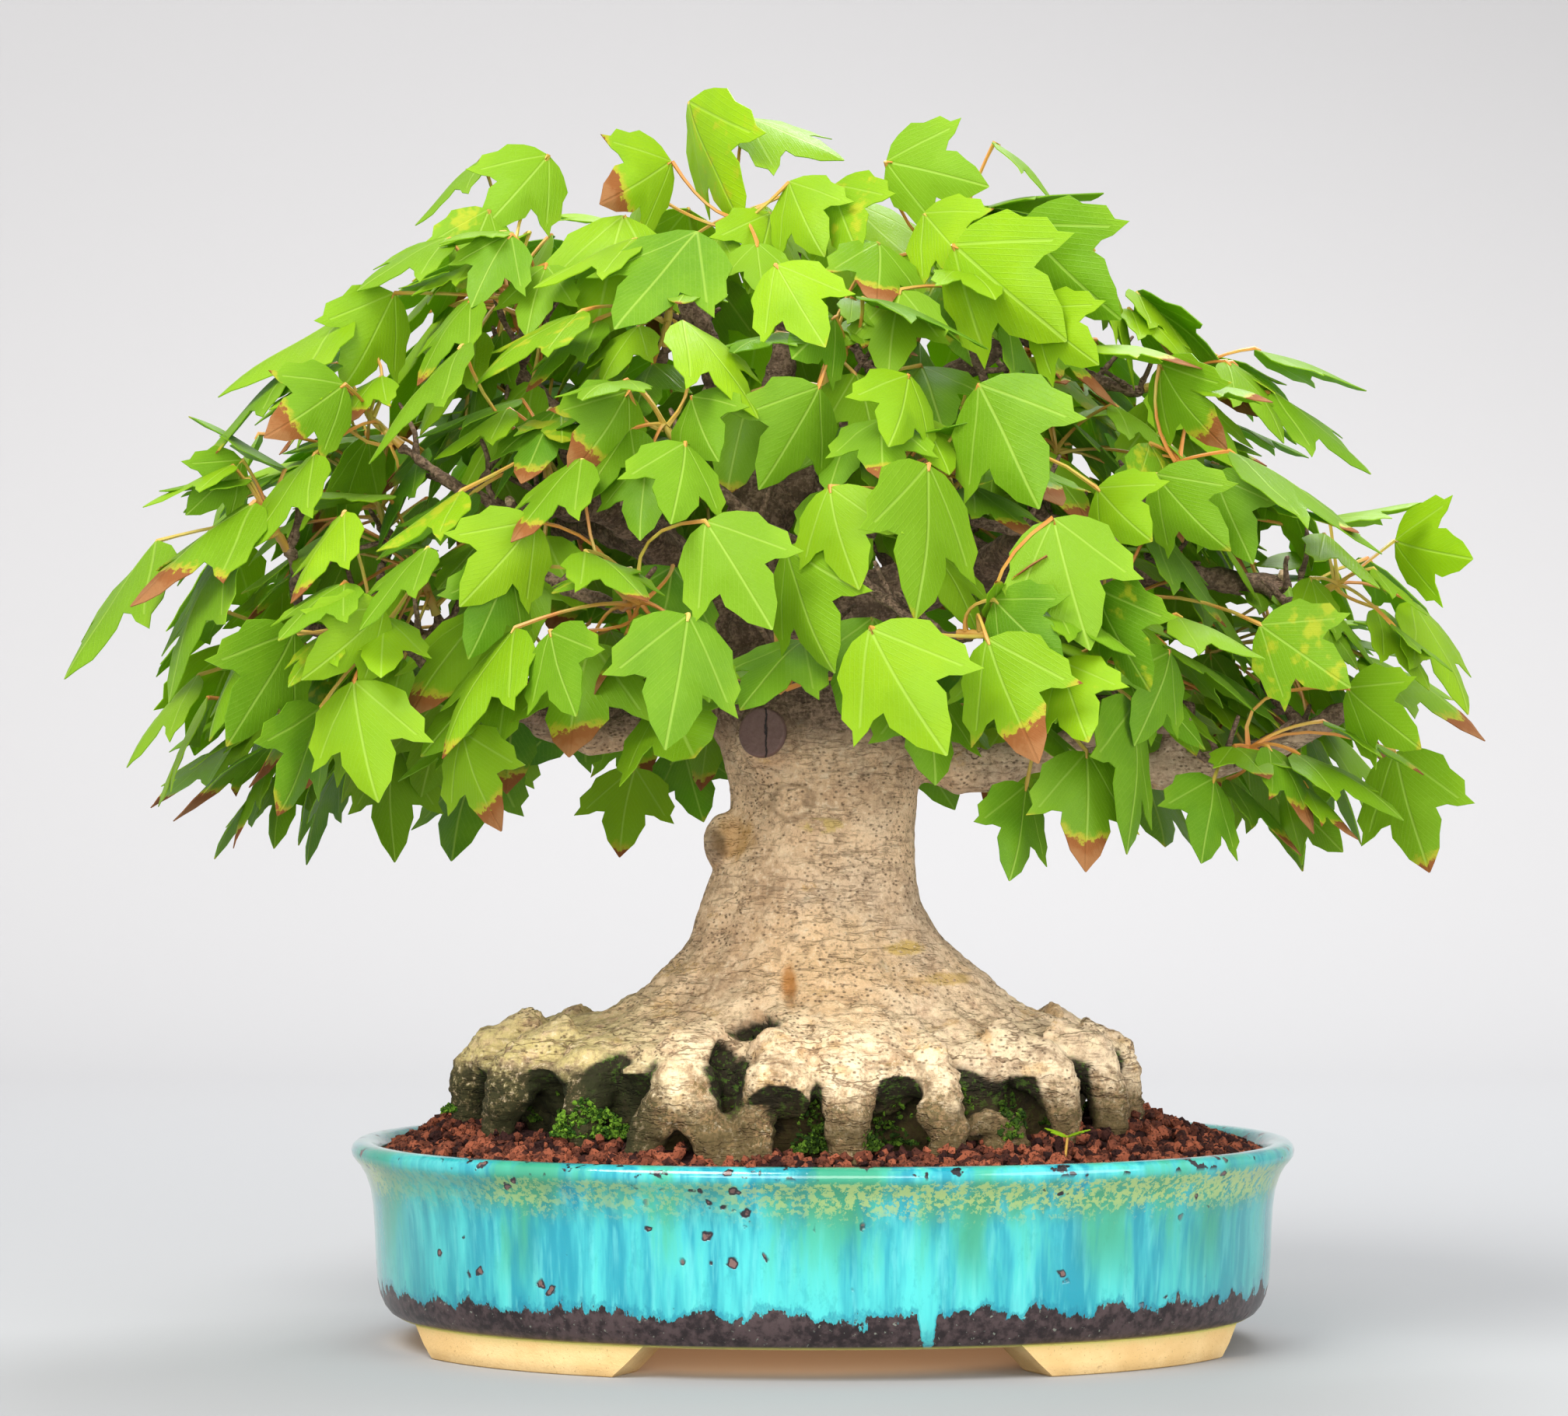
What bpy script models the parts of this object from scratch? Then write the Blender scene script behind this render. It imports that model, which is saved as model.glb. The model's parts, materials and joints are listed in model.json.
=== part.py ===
"""Trident maple bonsai growing in a glazed oval pot.

The tree stands with its roots in the soil of the pot.  The pot, the soil bed, the drain screens, the
trunk (roots, trunk, branches and twigs, which grew as one piece) and the wound paste are one object each.
Every current-year shoot, with its stem, leaf stalks and leaf blades, is one object seated on a twig tip.
Lengths are in metres, +Z is up, the pot is long in X, and the front of the tree faces -Y.
Lists marked "mm" hold millimetres from the middle of the pot's footprint.
"""
import math
import random

import bmesh
import bpy
import numpy as np
from mathutils import Matrix, Vector
from mathutils.bvhtree import BVHTree

MM = 0.001
SEGMENTS = 48  # flats round every oval or round ring
GAP = 0.0003  # clearance between pieces that touch

# Pot
POT_LENGTH = 0.280
POT_DEPTH = 0.216
POT_HEIGHT = 0.060
FOOT_HEIGHT = 0.0085
LIP_HEIGHT = 0.0045
WALL = 0.0085  # lip to inner wall at the mouth
FLOOR = 0.007
WAIST_INSET = 0.0070
BASE_INSET = 0.0130
OVAL_POWER = 2.15  # 2 is an ellipse; more is squarer
FOOT_WIDTH = 0.015
FOOT_SLANT = 5.0  # degrees of oval that a foot loses from its top to its underside
FOOT_SPANS = [(203.0, 248.5), (293.5, 339.0), (23.0, 67.0), (113.0, 157.0)]  # degrees round the oval
FOOT_NAMES = ["foot_front_left", "foot_front_right", "foot_back_right", "foot_back_left"]
DRAIN_RADIUS = 0.009
DRAIN_SPACING = 0.110
SCREEN_SIZE = 0.030
SCREEN_THICKNESS = 0.0010

# Soil
SOIL_BELOW_RIM = 0.0045
SOIL_AT_ROOTS = 0.0650
SOIL_SIDE_RISE = 0.0045
SOIL_FRONT_DROP = 0.0040
POCKET_GAP = 0.0005

ROOT_GROOVE = 0.20  # depth of the grooves between the roots, as a share of the reach
# Trunk sections, mm: height, half length in X, half depth in Y, middle in X, depth of grooves between roots
TRUNK_SECTIONS = [
    (48.0, 72.0, 55.2, -8.0, ROOT_GROOVE),
    (57.0, 96.0, 73.6, -8.0, ROOT_GROOVE),
    (71.0, 103.0, 79.0, -8.0, ROOT_GROOVE),
    (78.0, 103.5, 79.4, -8.0, ROOT_GROOVE),
    (84.0, 101.5, 77.0, -8.0, 0.15),
    (89.0, 95.0, 70.0, -8.0, 0.10),
    (93.5, 80.0, 59.0, -6.0, 0.07),
    (97.5, 64.5, 49.0, -2.0, 0.06),
    (107.0, 50.5, 41.0, 0.0, 0.05),
    (118.5, 38.2, 34.0, -0.4, 0.03),
    (130.0, 32.8, 30.5, -2.2, 0.02),
    (142.0, 30.0, 28.5, -2.0, 0.01),
    (154.0, 27.7, 27.0, -0.5, 0.01),
    (165.0, 28.1, 27.0, 0.6, 0.0),
    (177.0, 30.4, 27.5, 0.4, 0.0),
    (189.0, 29.5, 26.0, -3.5, 0.0),
    (198.0, 22.0, 20.5, -11.0, 0.0),
    (205.0, 14.0, 14.0, -15.0, 0.0),
]
ROOT_TOES = [194, 212, 229, 248, 268, 280, 294, 307, 323, 337, 355, 15, 38, 60, 82, 103, 124, 145, 170]  # degrees
TOE_WIDTH = 6.5  # degrees

# Branches, mm: X, Y, Z, radius at each bend
LIMBS = {
    "left_low": [(-20, 0, 184, 9.0), (-33, -2, 187, 7.2), (-49, -5, 184, 5.6), (-66, -8, 179, 4.8),
                 (-82, -10, 183, 4.2), (-97, -12, 196, 3.6), (-125, -14, 206, 2.9), (-152, -14, 211, 2.2)],
    "right_low": [(18, 0, 178, 10.0), (33, -2, 173, 8.0), (48, -4, 169, 6.4), (66, -6, 174, 5.4),
                  (103, -8, 169, 4.8), (138, -8, 178, 3.6), (160, -6, 190, 2.4)],
    "right_stub": [(102, -8, 168, 4.2), (107, -9, 190, 3.6)],
    "upper_left": [(-18, 4, 195, 11.0), (-28, 8, 210, 9.0), (-48, 12, 236, 7.0), (-68, 15, 259, 5.6),
                   (-92, 18, 288, 3.6), (-112, 18, 300, 2.4)],
    "upper_right": [(-6, -2, 194, 11.0), (10, -4, 218, 8.6), (45, -6, 228, 6.6), (80, -6, 229, 5.0),
                    (108, -5, 227, 4.0), (140, 0, 224, 2.6)],
    "apex": [(-16, 3, 196, 12.0), (-19, 4, 220, 9.5), (-21, 6, 262, 6.6), (-36, 8, 300, 4.2),
             (-46, 8, 326, 2.6)],
    "apex_right": [(-21, 6, 258, 5.4), (-12, 4, 292, 4.0), (-8, 3, 328, 2.4)],
    "back": [(-4, 8, 190, 10.0), (4, 34, 206, 7.6), (12, 64, 216, 5.6), (20, 96, 214, 3.6), (26, 118, 208, 2.4)],
    "front": [(-10, -8, 196, 8.6), (-8, -34, 220, 6.4), (-2, -60, 230, 4.8), (6, -88, 226, 3.0), (8, -102, 222, 2.2)],
    "back_left": [(-46, 12, 234, 6.0), (-68, 46, 246, 4.8), (-88, 78, 245, 3.4), (-100, 98, 238, 2.3)],
    "back_right": [(18, -4, 222, 7.0), (46, 26, 233, 5.2), (74, 56, 235, 3.8), (98, 80, 229, 2.4)],
    "front_left": [(-46, 12, 234, 6.0), (-62, -20, 245, 4.6), (-80, -50, 244, 3.4), (-92, -76, 234, 2.3)],
    "front_right": [(45, -6, 228, 5.4), (62, -36, 238, 4.2), (75, -62, 236, 3.1), (84, -84, 226, 2.2)],
    "top_right": [(-20, 5, 240, 6.4), (6, 10, 266, 5.0), (35, 8, 286, 3.8), (60, 6, 300, 2.4)],
    "low_front_left": [(-66, -8, 179, 4.2), (-80, -36, 184, 3.4), (-98, -60, 188, 2.3)],
    "low_front_right": [(66, -6, 174, 4.6), (84, -36, 182, 3.5), (104, -62, 182, 2.3)],
    "low_back_left": [(-49, -5, 184, 4.8), (-76, 30, 191, 3.7), (-104, 58, 194, 2.4)],
    "low_back_right": [(48, -4, 169, 5.4), (76, 30, 183, 3.8), (108, 60, 187, 2.4)],
}
# Healed swellings on the trunk, mm: X, Y, Z, radius along X, Y and Z
BURLS = [(-29, -6, 148, 6.5, 7.5, 9.0), (-24, -5, 186, 9.0, 9.5, 8.0), (25, -5, 175, 10.0, 10.0, 8.5)]
CUT_PLACE = (-17.5, -27.0, 180.0)  # mm, the middle of the sealed pruning cut
CUT_RADIUS = 0.0075
CUT_STUB = 0.014
PASTE_THICKNESS = 0.0016
CUT_VIEW = 0.130  # length in front of the cut that the leaves leave free

# Crown
CROWN_MIDDLE = (-13.0, 0.0, 205.0)  # mm
CROWN_REACH = (205.0, 152.0, 158.0)  # mm, along X, along Y and up
CROWN_SKIRT = 66.0  # mm, down
EYE = (-11.5, -1250.0, 158.0)  # mm, where the front leaves' places are judged from
SHOOTS = 48
STEM_LENGTH = 0.0135
STEM_PARTS = 3
STEM_RADIUS = 0.0012
STALK_RADIUS = 0.0006
STALK_ROOT = 0.0015  # length over which a stalk narrows from the stem
TWIG_START = 0.0024
TWIG_END = 0.0016
TWIG_LEAST = 0.012  # length of the shortest twig
LEAF_THICKNESS = 0.0012
LEAF_CLEARANCE = 0.0008
# Leaves spread over the rest of the crown: group, count, first azimuth and sweep in degrees, lowest and
# highest share of the crown's height, share of the crown's reach
LEAF_GROUPS = [
    ("back", 92, -8, 196, -0.62, 0.97, 0.88),
    ("top", 26, 0, 360, 0.78, 0.99, 0.90),
    ("inner", 84, 0, 360, -0.45, 0.86, 0.66),
]

# Leaf outline: place of the midrib point and of the side point along the leaf, and half width, as shares
LEAF_OUTLINE = [(0.10, 0.14, 0.36), (0.30, 0.58, 0.50), (0.46, 0.50, 0.21), (0.985, 1.0, 0.012)]

# Front leaves, mm as seen from EYE: stalk end X and Z, tip X and Z, visible width
FRONT_LEAVES = [
    (-42, 304, -17, 283, 21), (-2, 285, -14, 257, 26), (47, 285, 62, 251, 33), (32, 261, 32, 220, 28),
    (-35, 244, -17, 216, 35), (69, 245, 76, 210, 42), (-40, 216, -45, 181, 34), (14, 212, 30, 178, 36),
    (-11, 236, -4, 202, 21), (-58, 283, -70, 258, 22), (-37, 287, -31, 271, 26), (-40, 267, -41, 246, 27),
    (-14, 321, -3, 299, 31), (3, 256, 7, 228, 28), (26, 288, 24, 269, 23), (6, 304, 0, 288, 21),
    (12, 311, 48, 305, 10), (39, 327, 67, 300, 33), (59, 333, 82, 306, 28), (19, 352, 45, 345, 28),
    (-23, 365, 4, 356, 26), (-40, 370, -31, 333, 12), (-82, 354, -96, 334, 28), (-102, 353, -122, 336, 12),
    (-112, 329, -137, 318, 19), (-96, 336, -103, 314, 26), (-56, 329, -84, 318, 16), (-143, 306, -178, 286, 21),
    (-158, 291, -188, 268, 12), (-143, 285, -157, 270, 21), (-129, 312, -139, 284, 21), (-72, 307, -103, 294, 19),
    (-108, 297, -136, 267, 16), (-105, 311, -122, 290, 17), (-170, 250, -204, 226, 26), (-199, 238, -225, 203, 23),
    (-178, 236, -200, 199, 19), (-179, 254, -194, 242, 18), (-152, 264, -171, 238, 19), (-171, 208, -185, 183, 16),
    (-158, 211, -171, 179, 20), (-140, 196, -137, 165, 33), (-108, 181, -101, 155, 21), (-150, 188, -156, 158, 10),
    (-131, 218, -147, 198, 20), (-92, 212, -116, 183, 21), (-96, 230, -105, 205, 24), (-71, 235, -51, 226, 17),
    (-86, 244, -103, 220, 26), (-76, 261, -99, 238, 19), (-82, 211, -76, 188, 21), (-72, 224, -58, 206, 19),
    (-108, 253, -131, 238, 14), (-143, 247, -159, 224, 17), (-118, 236, -138, 216, 16), (49, 209, 59, 175, 28),
    (71, 202, 75, 181, 23), (79, 175, 79, 144, 30), (61, 165, 58, 140, 19), (92, 188, 89, 145, 16),
    (117, 167, 113, 146, 23), (131, 213, 153, 195, 26), (171, 238, 184, 231, 16), (176, 220, 195, 193, 21),
    (167, 219, 183, 198, 17), (141, 175, 171, 163, 16), (171, 175, 176, 143, 28), (138, 165, 148, 148, 14),
    (122, 265, 169, 243, 21), (117, 263, 129, 237, 26), (82, 254, 92, 238, 21), (100, 258, 113, 236, 20),
    (80, 297, 110, 297, 8), (101, 291, 112, 266, 14), (63, 308, 76, 290, 18), (139, 250, 157, 243, 12),
    (150, 240, 165, 228, 14), (50, 222, 62, 203, 22), (106, 216, 129, 206, 14), (82, 225, 90, 196, 16),
    (157, 194, 171, 177, 14), (104, 205, 98, 180, 20), (-45, 352, -60, 338, 20), (3, 345, 8, 325, 24),
    (30, 336, 40, 318, 24), (-10, 345, -5, 325, 22),
]

# Moss at the foot of the roots: first and last flat round the trunk, height up the wall, depth on the soil
MOSS = {
    "moss_left": (23, 26, 0.0050, 0.0050),
    "moss_front_left": (30, 32, 0.0100, 0.0040),
    "moss_front": (36, 38, 0.0090, 0.0035),
    "moss_front_right": (40, 42, 0.0075, 0.0035),
    "moss_back": (10, 13, 0.0070, 0.0050),
}
SEEDLING_FLAT = 41  # flat round the trunk
SEEDLING_SHARE = 0.5  # of the way from the roots to the rim
SEEDLING_HEIGHT = 0.006
SEEDLING_STEM = 0.001

COLOURS = {  # colour, roughness, metallic
    "turquoise_glaze": ((0.02, 0.52, 0.62, 1.0), 0.15, 0.0),
    "lava_soil": ((0.10, 0.035, 0.02, 1.0), 0.95, 0.0),
    "maple_bark": ((0.42, 0.32, 0.22, 1.0), 0.85, 0.0),
    "leaf_green": ((0.22, 0.55, 0.05, 1.0), 0.5, 0.0),
    "moss_green": ((0.08, 0.20, 0.02, 1.0), 1.0, 0.0),
    "wound_paste": ((0.10, 0.05, 0.045, 1.0), 0.6, 0.0),
    "screen_plastic": ((0.02, 0.02, 0.02, 1.0), 0.5, 0.0),
}


# ---------------------------------------------------------------- scene, collections and materials
def empty_scene():
    for old in list(bpy.data.objects):
        bpy.data.objects.remove(old, do_unlink=True)


def new_collection(name):
    made = bpy.data.collections.new(name)
    bpy.context.scene.collection.children.link(made)
    return made


def material(name):
    made = bpy.data.materials.get(name)
    if made is None:
        colour, roughness, metallic = COLOURS[name]
        made = bpy.data.materials.new(name)
        made.use_nodes = True
        shader = made.node_tree.nodes["Principled BSDF"]
        shader.inputs["Base Color"].default_value = colour
        shader.inputs["Roughness"].default_value = roughness
        shader.inputs["Metallic"].default_value = metallic
        made.diffuse_color = colour
    return made


def add_part(name, bm, colour, origin):
    """The finished mesh as a named object under the origin empty."""
    bmesh.ops.recalc_face_normals(bm, faces=bm.faces)
    mesh = bpy.data.meshes.new(name)
    bm.to_mesh(mesh)
    bm.free()
    mesh.shade_smooth()
    mesh.set_sharp_from_angle(angle=math.radians(35))
    made = bpy.data.objects.new(name, mesh)
    made.data.materials.append(material(colour))
    parts.objects.link(made)
    made.parent = origin
    return made


def add_tool(name, mesh):
    """A guide shape that a Boolean reads; it isn't part of the model."""
    made = bpy.data.objects.new(name, mesh)
    made.hide_render = True
    made.display_type = "WIRE"
    cutters.objects.link(made)
    made.parent = origin
    return made


def join_with(body, tool, operation, solver="EXACT"):
    joint = body.modifiers.new(f"{operation.lower()} {tool.name}", "BOOLEAN")
    joint.operation = operation
    joint.solver = solver
    if solver == "EXACT":
        joint.use_self = operation == "UNION"
    joint.object = tool


# ---------------------------------------------------------------- shared shapes
def loft(bm, rings, start=None, end=None):
    """Quads between rings of equal count, closed by a point or a flat end at each end."""
    made = [[bm.verts.new(point) for point in ring] for ring in rings]
    for low, high in zip(made, made[1:]):
        for i in range(len(low)):
            j = (i + 1) % len(low)
            bm.faces.new((low[i], low[j], high[j], high[i]))
    for ring, pole in ((made[0], start), (made[-1], end)):
        if pole is None:
            bm.faces.new(ring)
            continue
        tip = bm.verts.new(pole)
        for i in range(len(ring)):
            bm.faces.new((ring[i], ring[(i + 1) % len(ring)], tip))
    return made


def oval_point(angle, inset, height):
    """A point of the pot's oval, moved in by inset."""
    cosine, sine = math.cos(angle), math.sin(angle)
    power = 2.0 / OVAL_POWER
    x = math.copysign(abs(cosine) ** power, cosine) * (POT_LENGTH / 2 - inset)
    y = math.copysign(abs(sine) ** power, sine) * (POT_DEPTH / 2 - inset)
    return Vector((x, y, height))


def oval_ring(inset, height):
    return [oval_point(math.tau * i / SEGMENTS, inset, height) for i in range(SEGMENTS)]


def toe_wave(angle):
    """1 along a root, 0 midway between two."""
    degrees = math.degrees(angle)
    offsets = [abs((degrees - toe + 180) % 360 - 180) for toe in ROOT_TOES]
    return math.exp(-((min(offsets) / TOE_WIDTH) ** 2))


def trunk_section(height):
    """The trunk's measures at a height, read straight between the listed sections."""
    columns = np.array(TRUNK_SECTIONS).T
    return [float(np.interp(height / MM, columns[0], column)) for column in columns[1:]]


def trunk_point(angle, height, away=0.0):
    half_x, half_y, middle, groove = trunk_section(height)
    share = 1 - groove * (1 - toe_wave(angle))
    flat = Vector((half_x * math.cos(angle), half_y * math.sin(angle))) * share * MM
    flat += flat.normalized() * away
    return Vector((flat.x + middle * MM, flat.y, height))


def trunk_ring(height, away=0.0):
    return [trunk_point(math.tau * i / SEGMENTS, height, away) for i in range(SEGMENTS)]


def across_to(forward, hint):
    """The unit vector nearest hint that is square to forward."""
    side = hint - forward * hint.dot(forward)
    if side.length < 1e-4:
        side = forward.orthogonal()
    return side.normalized()


def section(middle, forward, normal, half_width, half_height):
    side = forward.cross(normal)
    return [middle + normal * half_height, middle + side * half_width,
            middle - normal * half_height, middle - side * half_width]


# ---------------------------------------------------------------- pot
def inner_inset(height):
    """How far the pot's inner wall lies inside the rim's oval."""
    floor_top = FOOT_HEIGHT + FLOOR
    heights = [floor_top, floor_top + 0.005, POT_HEIGHT - 0.010, POT_HEIGHT - 0.002]
    insets = [WALL + 0.0085, WALL + 0.0035, WALL + 0.0020, WALL]
    return float(np.interp(height, heights, insets))


def pot_rings():
    top = POT_HEIGHT
    outer = [
        (BASE_INSET, FOOT_HEIGHT),
        (BASE_INSET - 0.0035, FOOT_HEIGHT + 0.0035),
        (WAIST_INSET + 0.0007, FOOT_HEIGHT + 0.0095),
        (WAIST_INSET - 0.0004, top - 0.0160),
        (WAIST_INSET - 0.0030, top - LIP_HEIGHT - 0.0035),
        (0.0006, top - LIP_HEIGHT),
        (0.0, top - LIP_HEIGHT * 0.45),
        (0.0018, top - 0.0004),
        (0.0042, top),
        (WALL - 0.0016, top - 0.0004),
    ]
    rings = [oval_ring(inset, height) for inset, height in outer]
    floor_top = FOOT_HEIGHT + FLOOR
    for height in (top - 0.002, top - 0.010, floor_top + 0.005, floor_top):
        rings.append(oval_ring(inner_inset(height), height))
    return rings


def foot_mesh(first, last):
    """One foot: a bar that follows the oval, slanted in at both ends."""
    bm = bmesh.new()
    steps = 6
    rings = []
    for k in range(steps):
        share = k / (steps - 1)
        upper = math.radians(first + (last - first) * share)
        lower = math.radians(first + FOOT_SLANT + (last - first - 2 * FOOT_SLANT) * share)
        bed = FOOT_HEIGHT + 0.003
        rings.append([
            oval_point(upper, BASE_INSET - 0.001, bed),
            oval_point(lower, BASE_INSET + 0.0005, 0.0),
            oval_point(lower, BASE_INSET + FOOT_WIDTH, 0.0),
            oval_point(upper, BASE_INSET + FOOT_WIDTH + 0.0015, bed),
        ])
    loft(bm, rings)
    bmesh.ops.recalc_face_normals(bm, faces=bm.faces)
    mesh = bpy.data.meshes.new("foot")
    bm.to_mesh(mesh)
    bm.free()
    return mesh


def build_pot():
    bm = bmesh.new()
    loft(bm, pot_rings(), Vector((0, 0, FOOT_HEIGHT)), Vector((0, 0, FOOT_HEIGHT + FLOOR)))
    pot = add_part("pot", bm, "turquoise_glaze", origin)
    for name, (first, last) in zip(FOOT_NAMES, FOOT_SPANS):
        join_with(pot, add_tool(name, foot_mesh(first, last)), "UNION", "MANIFOLD")
    for side, label in ((-1, "left"), (1, "right")):
        bpy.ops.mesh.primitive_cylinder_add(
            vertices=20, radius=DRAIN_RADIUS, depth=4 * FLOOR,
            location=(side * DRAIN_SPACING / 2, 0, FOOT_HEIGHT + FLOOR / 2))
        made = bpy.context.object
        hole = add_tool(f"drain_hole_{label}", made.data)
        hole.location = made.location
        bpy.data.objects.remove(made)
        join_with(pot, hole, "DIFFERENCE", "MANIFOLD")
    return pot


def build_screens():
    """A plastic mesh square lies over each drain hole."""
    for side, label in ((-1, "left"), (1, "right")):
        bm = bmesh.new()
        bmesh.ops.create_cube(bm, size=1.0)
        bmesh.ops.scale(bm, vec=(SCREEN_SIZE, SCREEN_SIZE, SCREEN_THICKNESS), verts=bm.verts)
        height = FOOT_HEIGHT + FLOOR + GAP + SCREEN_THICKNESS / 2
        bmesh.ops.translate(bm, vec=(side * DRAIN_SPACING / 2, 0, height), verts=bm.verts)
        add_part(f"drain_screen_{label}", bm, "screen_plastic", origin)


# ---------------------------------------------------------------- soil, moss and seedling
def soil_at_roots(angle):
    """Height of the soil where it meets the roots: mounded at the ends, lower in front."""
    return (SOIL_AT_ROOTS + SOIL_SIDE_RISE * abs(math.cos(angle))
            - SOIL_FRONT_DROP * max(0.0, -math.sin(angle)))


def soil_point(i, share):
    """The soil's surface from the roots, at share 0, to the pot's wall, at share 1."""
    angle = math.tau * i / SEGMENTS
    near = trunk_point(angle, soil_at_roots(angle), POCKET_GAP)
    rim_height = POT_HEIGHT - SOIL_BELOW_RIM
    far = oval_point(angle, inner_inset(rim_height) + GAP, rim_height)
    return near.lerp(far, share)


def build_soil():
    bottom = FOOT_HEIGHT + FLOOR + SCREEN_THICKNESS + 2 * GAP
    pocket_floor = TRUNK_SECTIONS[0][0] * MM - POCKET_GAP
    plug_bend = TRUNK_SECTIONS[1][0] * MM
    rings = [oval_ring(inner_inset(bottom) + GAP + 0.0005, bottom)]
    for height in (FOOT_HEIGHT + FLOOR + 0.005, POT_HEIGHT - 0.010):
        rings.append(oval_ring(inner_inset(height) + GAP, height))
    for share in (1.0, 0.75, 0.5, 0.25, 0.0):
        rings.append([soil_point(i, share) for i in range(SEGMENTS)])
    rings.append(trunk_ring(plug_bend, POCKET_GAP))
    rings.append([Vector((p.x, p.y, pocket_floor)) for p in trunk_ring(TRUNK_SECTIONS[0][0] * MM, POCKET_GAP)])
    bm = bmesh.new()
    middle = TRUNK_SECTIONS[0][3] * MM
    loft(bm, rings, Vector((0, 0, bottom)), Vector((middle, 0, pocket_floor)))
    return add_part("soil", bm, "lava_soil", origin)


def build_moss():
    """Each pad fills the corner between the root wall and the soil."""
    for name, (first, last, rise, depth) in MOSS.items():
        rings = []
        for i in range(first, last + 1):
            angle = math.tau * i / SEGMENTS
            share = 0.55 + 0.45 * math.sin(math.pi * (i - first + 0.5) / (last - first + 1))
            foot = soil_at_roots(angle) + 1.5 * POCKET_GAP
            crest = foot + rise * share
            bend = min(max(TRUNK_SECTIONS[2][0] * MM, foot + 0.1 * (crest - foot)), foot + 0.9 * (crest - foot))
            low = trunk_point(angle, foot, 2 * POCKET_GAP)
            swell = trunk_point(angle, bend, 1.4 * POCKET_GAP)
            top = trunk_point(angle, crest, 1.4 * POCKET_GAP)
            reach = 0.9 * depth * share / (soil_point(i, 1.0) - soil_point(i, 0.0)).length
            out = soil_point(i, max(0.06, reach))
            out.z += 2.5 * POCKET_GAP
            ridge = (top + out) / 2 + Vector((math.cos(angle), math.sin(angle), 1.0)) * 0.0012
            rings.append([low, out, ridge, top, swell])
        bm = bmesh.new()
        loft(bm, rings)
        add_part(name, bm, "moss_green", origin)


# ---------------------------------------------------------------- growth plan of the wood and shoots
def limb_paths():
    return [[(Vector(bend[:3]) * MM, bend[3] * MM) for bend in bends] for bends in LIMBS.values()]


def limb_spots():
    """Places along the branches where a twig may start, past the first stretch in the trunk."""
    spots = []
    for path in limb_paths():
        for (a, ra), (b, rb) in list(zip(path, path[1:]))[1:] or [(path[0], path[1])]:
            for step in range(4):
                share = step / 4
                spots.append((a.lerp(b, share), ra + (rb - ra) * share))
        spots.append(path[-1])
    return spots


def crown_depth(x, z):
    """How far in front of the middle the crown's surface lies, in mm, at a place seen from the front."""
    up = CROWN_REACH[2] if z > CROWN_MIDDLE[2] else CROWN_SKIRT
    off = ((x - CROWN_MIDDLE[0]) / CROWN_REACH[0]) ** 2 + ((z - CROWN_MIDDLE[2]) / up) ** 2
    return -CROWN_REACH[1] * math.sqrt(max(0.05, 1 - off))


def seen_from_eye(x, z, y):
    """The real place, in metres, of a point at depth y that is seen at x, z on the plane y = 0."""
    share = (y - EYE[1]) / -EYE[1]
    return Vector((EYE[0] + (x - EYE[0]) * share, y, EYE[2] + (z - EYE[2]) * share)) * MM


def front_leaf(index, leaf):
    """Stalk end, direction, normal, length and width of a leaf given as seen from the front."""
    base_x, base_z, tip_x, tip_z, seen_width = leaf
    chance = random.Random(f"front {index}")
    inward = 0.0 if seen_width > 26 else chance.uniform(2, 20)
    depth = crown_depth(base_x, base_z) * 0.9 + inward
    base = seen_from_eye(base_x, base_z, depth)
    tip = seen_from_eye(tip_x, tip_z, depth)
    seen = tip - base
    length = min(0.046, max(0.027, seen.length * 1.08))
    lean = math.sqrt(max(0.02, (length / max(seen.length, 0.008)) ** 2 - 1)) * seen.length
    forward = (seen + Vector((0, -lean, 0))).normalized()
    width = length * chance.uniform(0.95, 1.10)
    roll = math.acos(min(0.97, max(0.25, seen_width * MM * 0.9 / width)))
    face = across_to(forward, Vector((0, -1, 0.35)))
    upward = 1.0 if forward.x > 0 else -1.0
    face = Matrix.Rotation(upward * roll * 0.9, 3, forward) @ face
    if face.z < -0.1:
        face = Matrix.Rotation(-1.8 * upward * roll, 3, forward) @ face
    return base, forward, face.normalized(), length, width


def dome_leaf(kind, index, count, start, sweep, lowest, highest, reach):
    """A leaf spread evenly over a stretch of the crown, tip out and down."""
    chance = random.Random(f"{kind} {index}")
    turn = (index * 0.618034) % 1
    azimuth = math.radians(start + sweep * turn + chance.uniform(-4, 4))
    rise = math.asin(lowest + (highest - lowest) * (index + 0.5) / count)
    out = Vector((math.cos(azimuth) * math.cos(rise), math.sin(azimuth) * math.cos(rise), math.sin(rise)))
    up = CROWN_REACH[2] if out.z > 0 else CROWN_SKIRT
    spread = Vector((out.x * CROWN_REACH[0], out.y * CROWN_REACH[1], out.z * up)) * MM
    base = Vector(CROWN_MIDDLE) * MM + spread * reach * chance.uniform(0.93, 1.0)
    level = Vector((out.x, out.y, 0)).normalized()
    swing = Matrix.Rotation(chance.uniform(-0.6, 0.6), 3, "Z")
    forward = (swing @ level + Vector((0, 0, -chance.uniform(0.35, 1.5)))).normalized()
    face = across_to(forward, level * 0.5 + Vector((0, 0, 1)))
    face = Matrix.Rotation(chance.uniform(-0.45, 0.45), 3, forward) @ face
    length = chance.uniform(0.028, 0.040)
    return base, forward, face, length, length * chance.uniform(0.92, 1.08)


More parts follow.
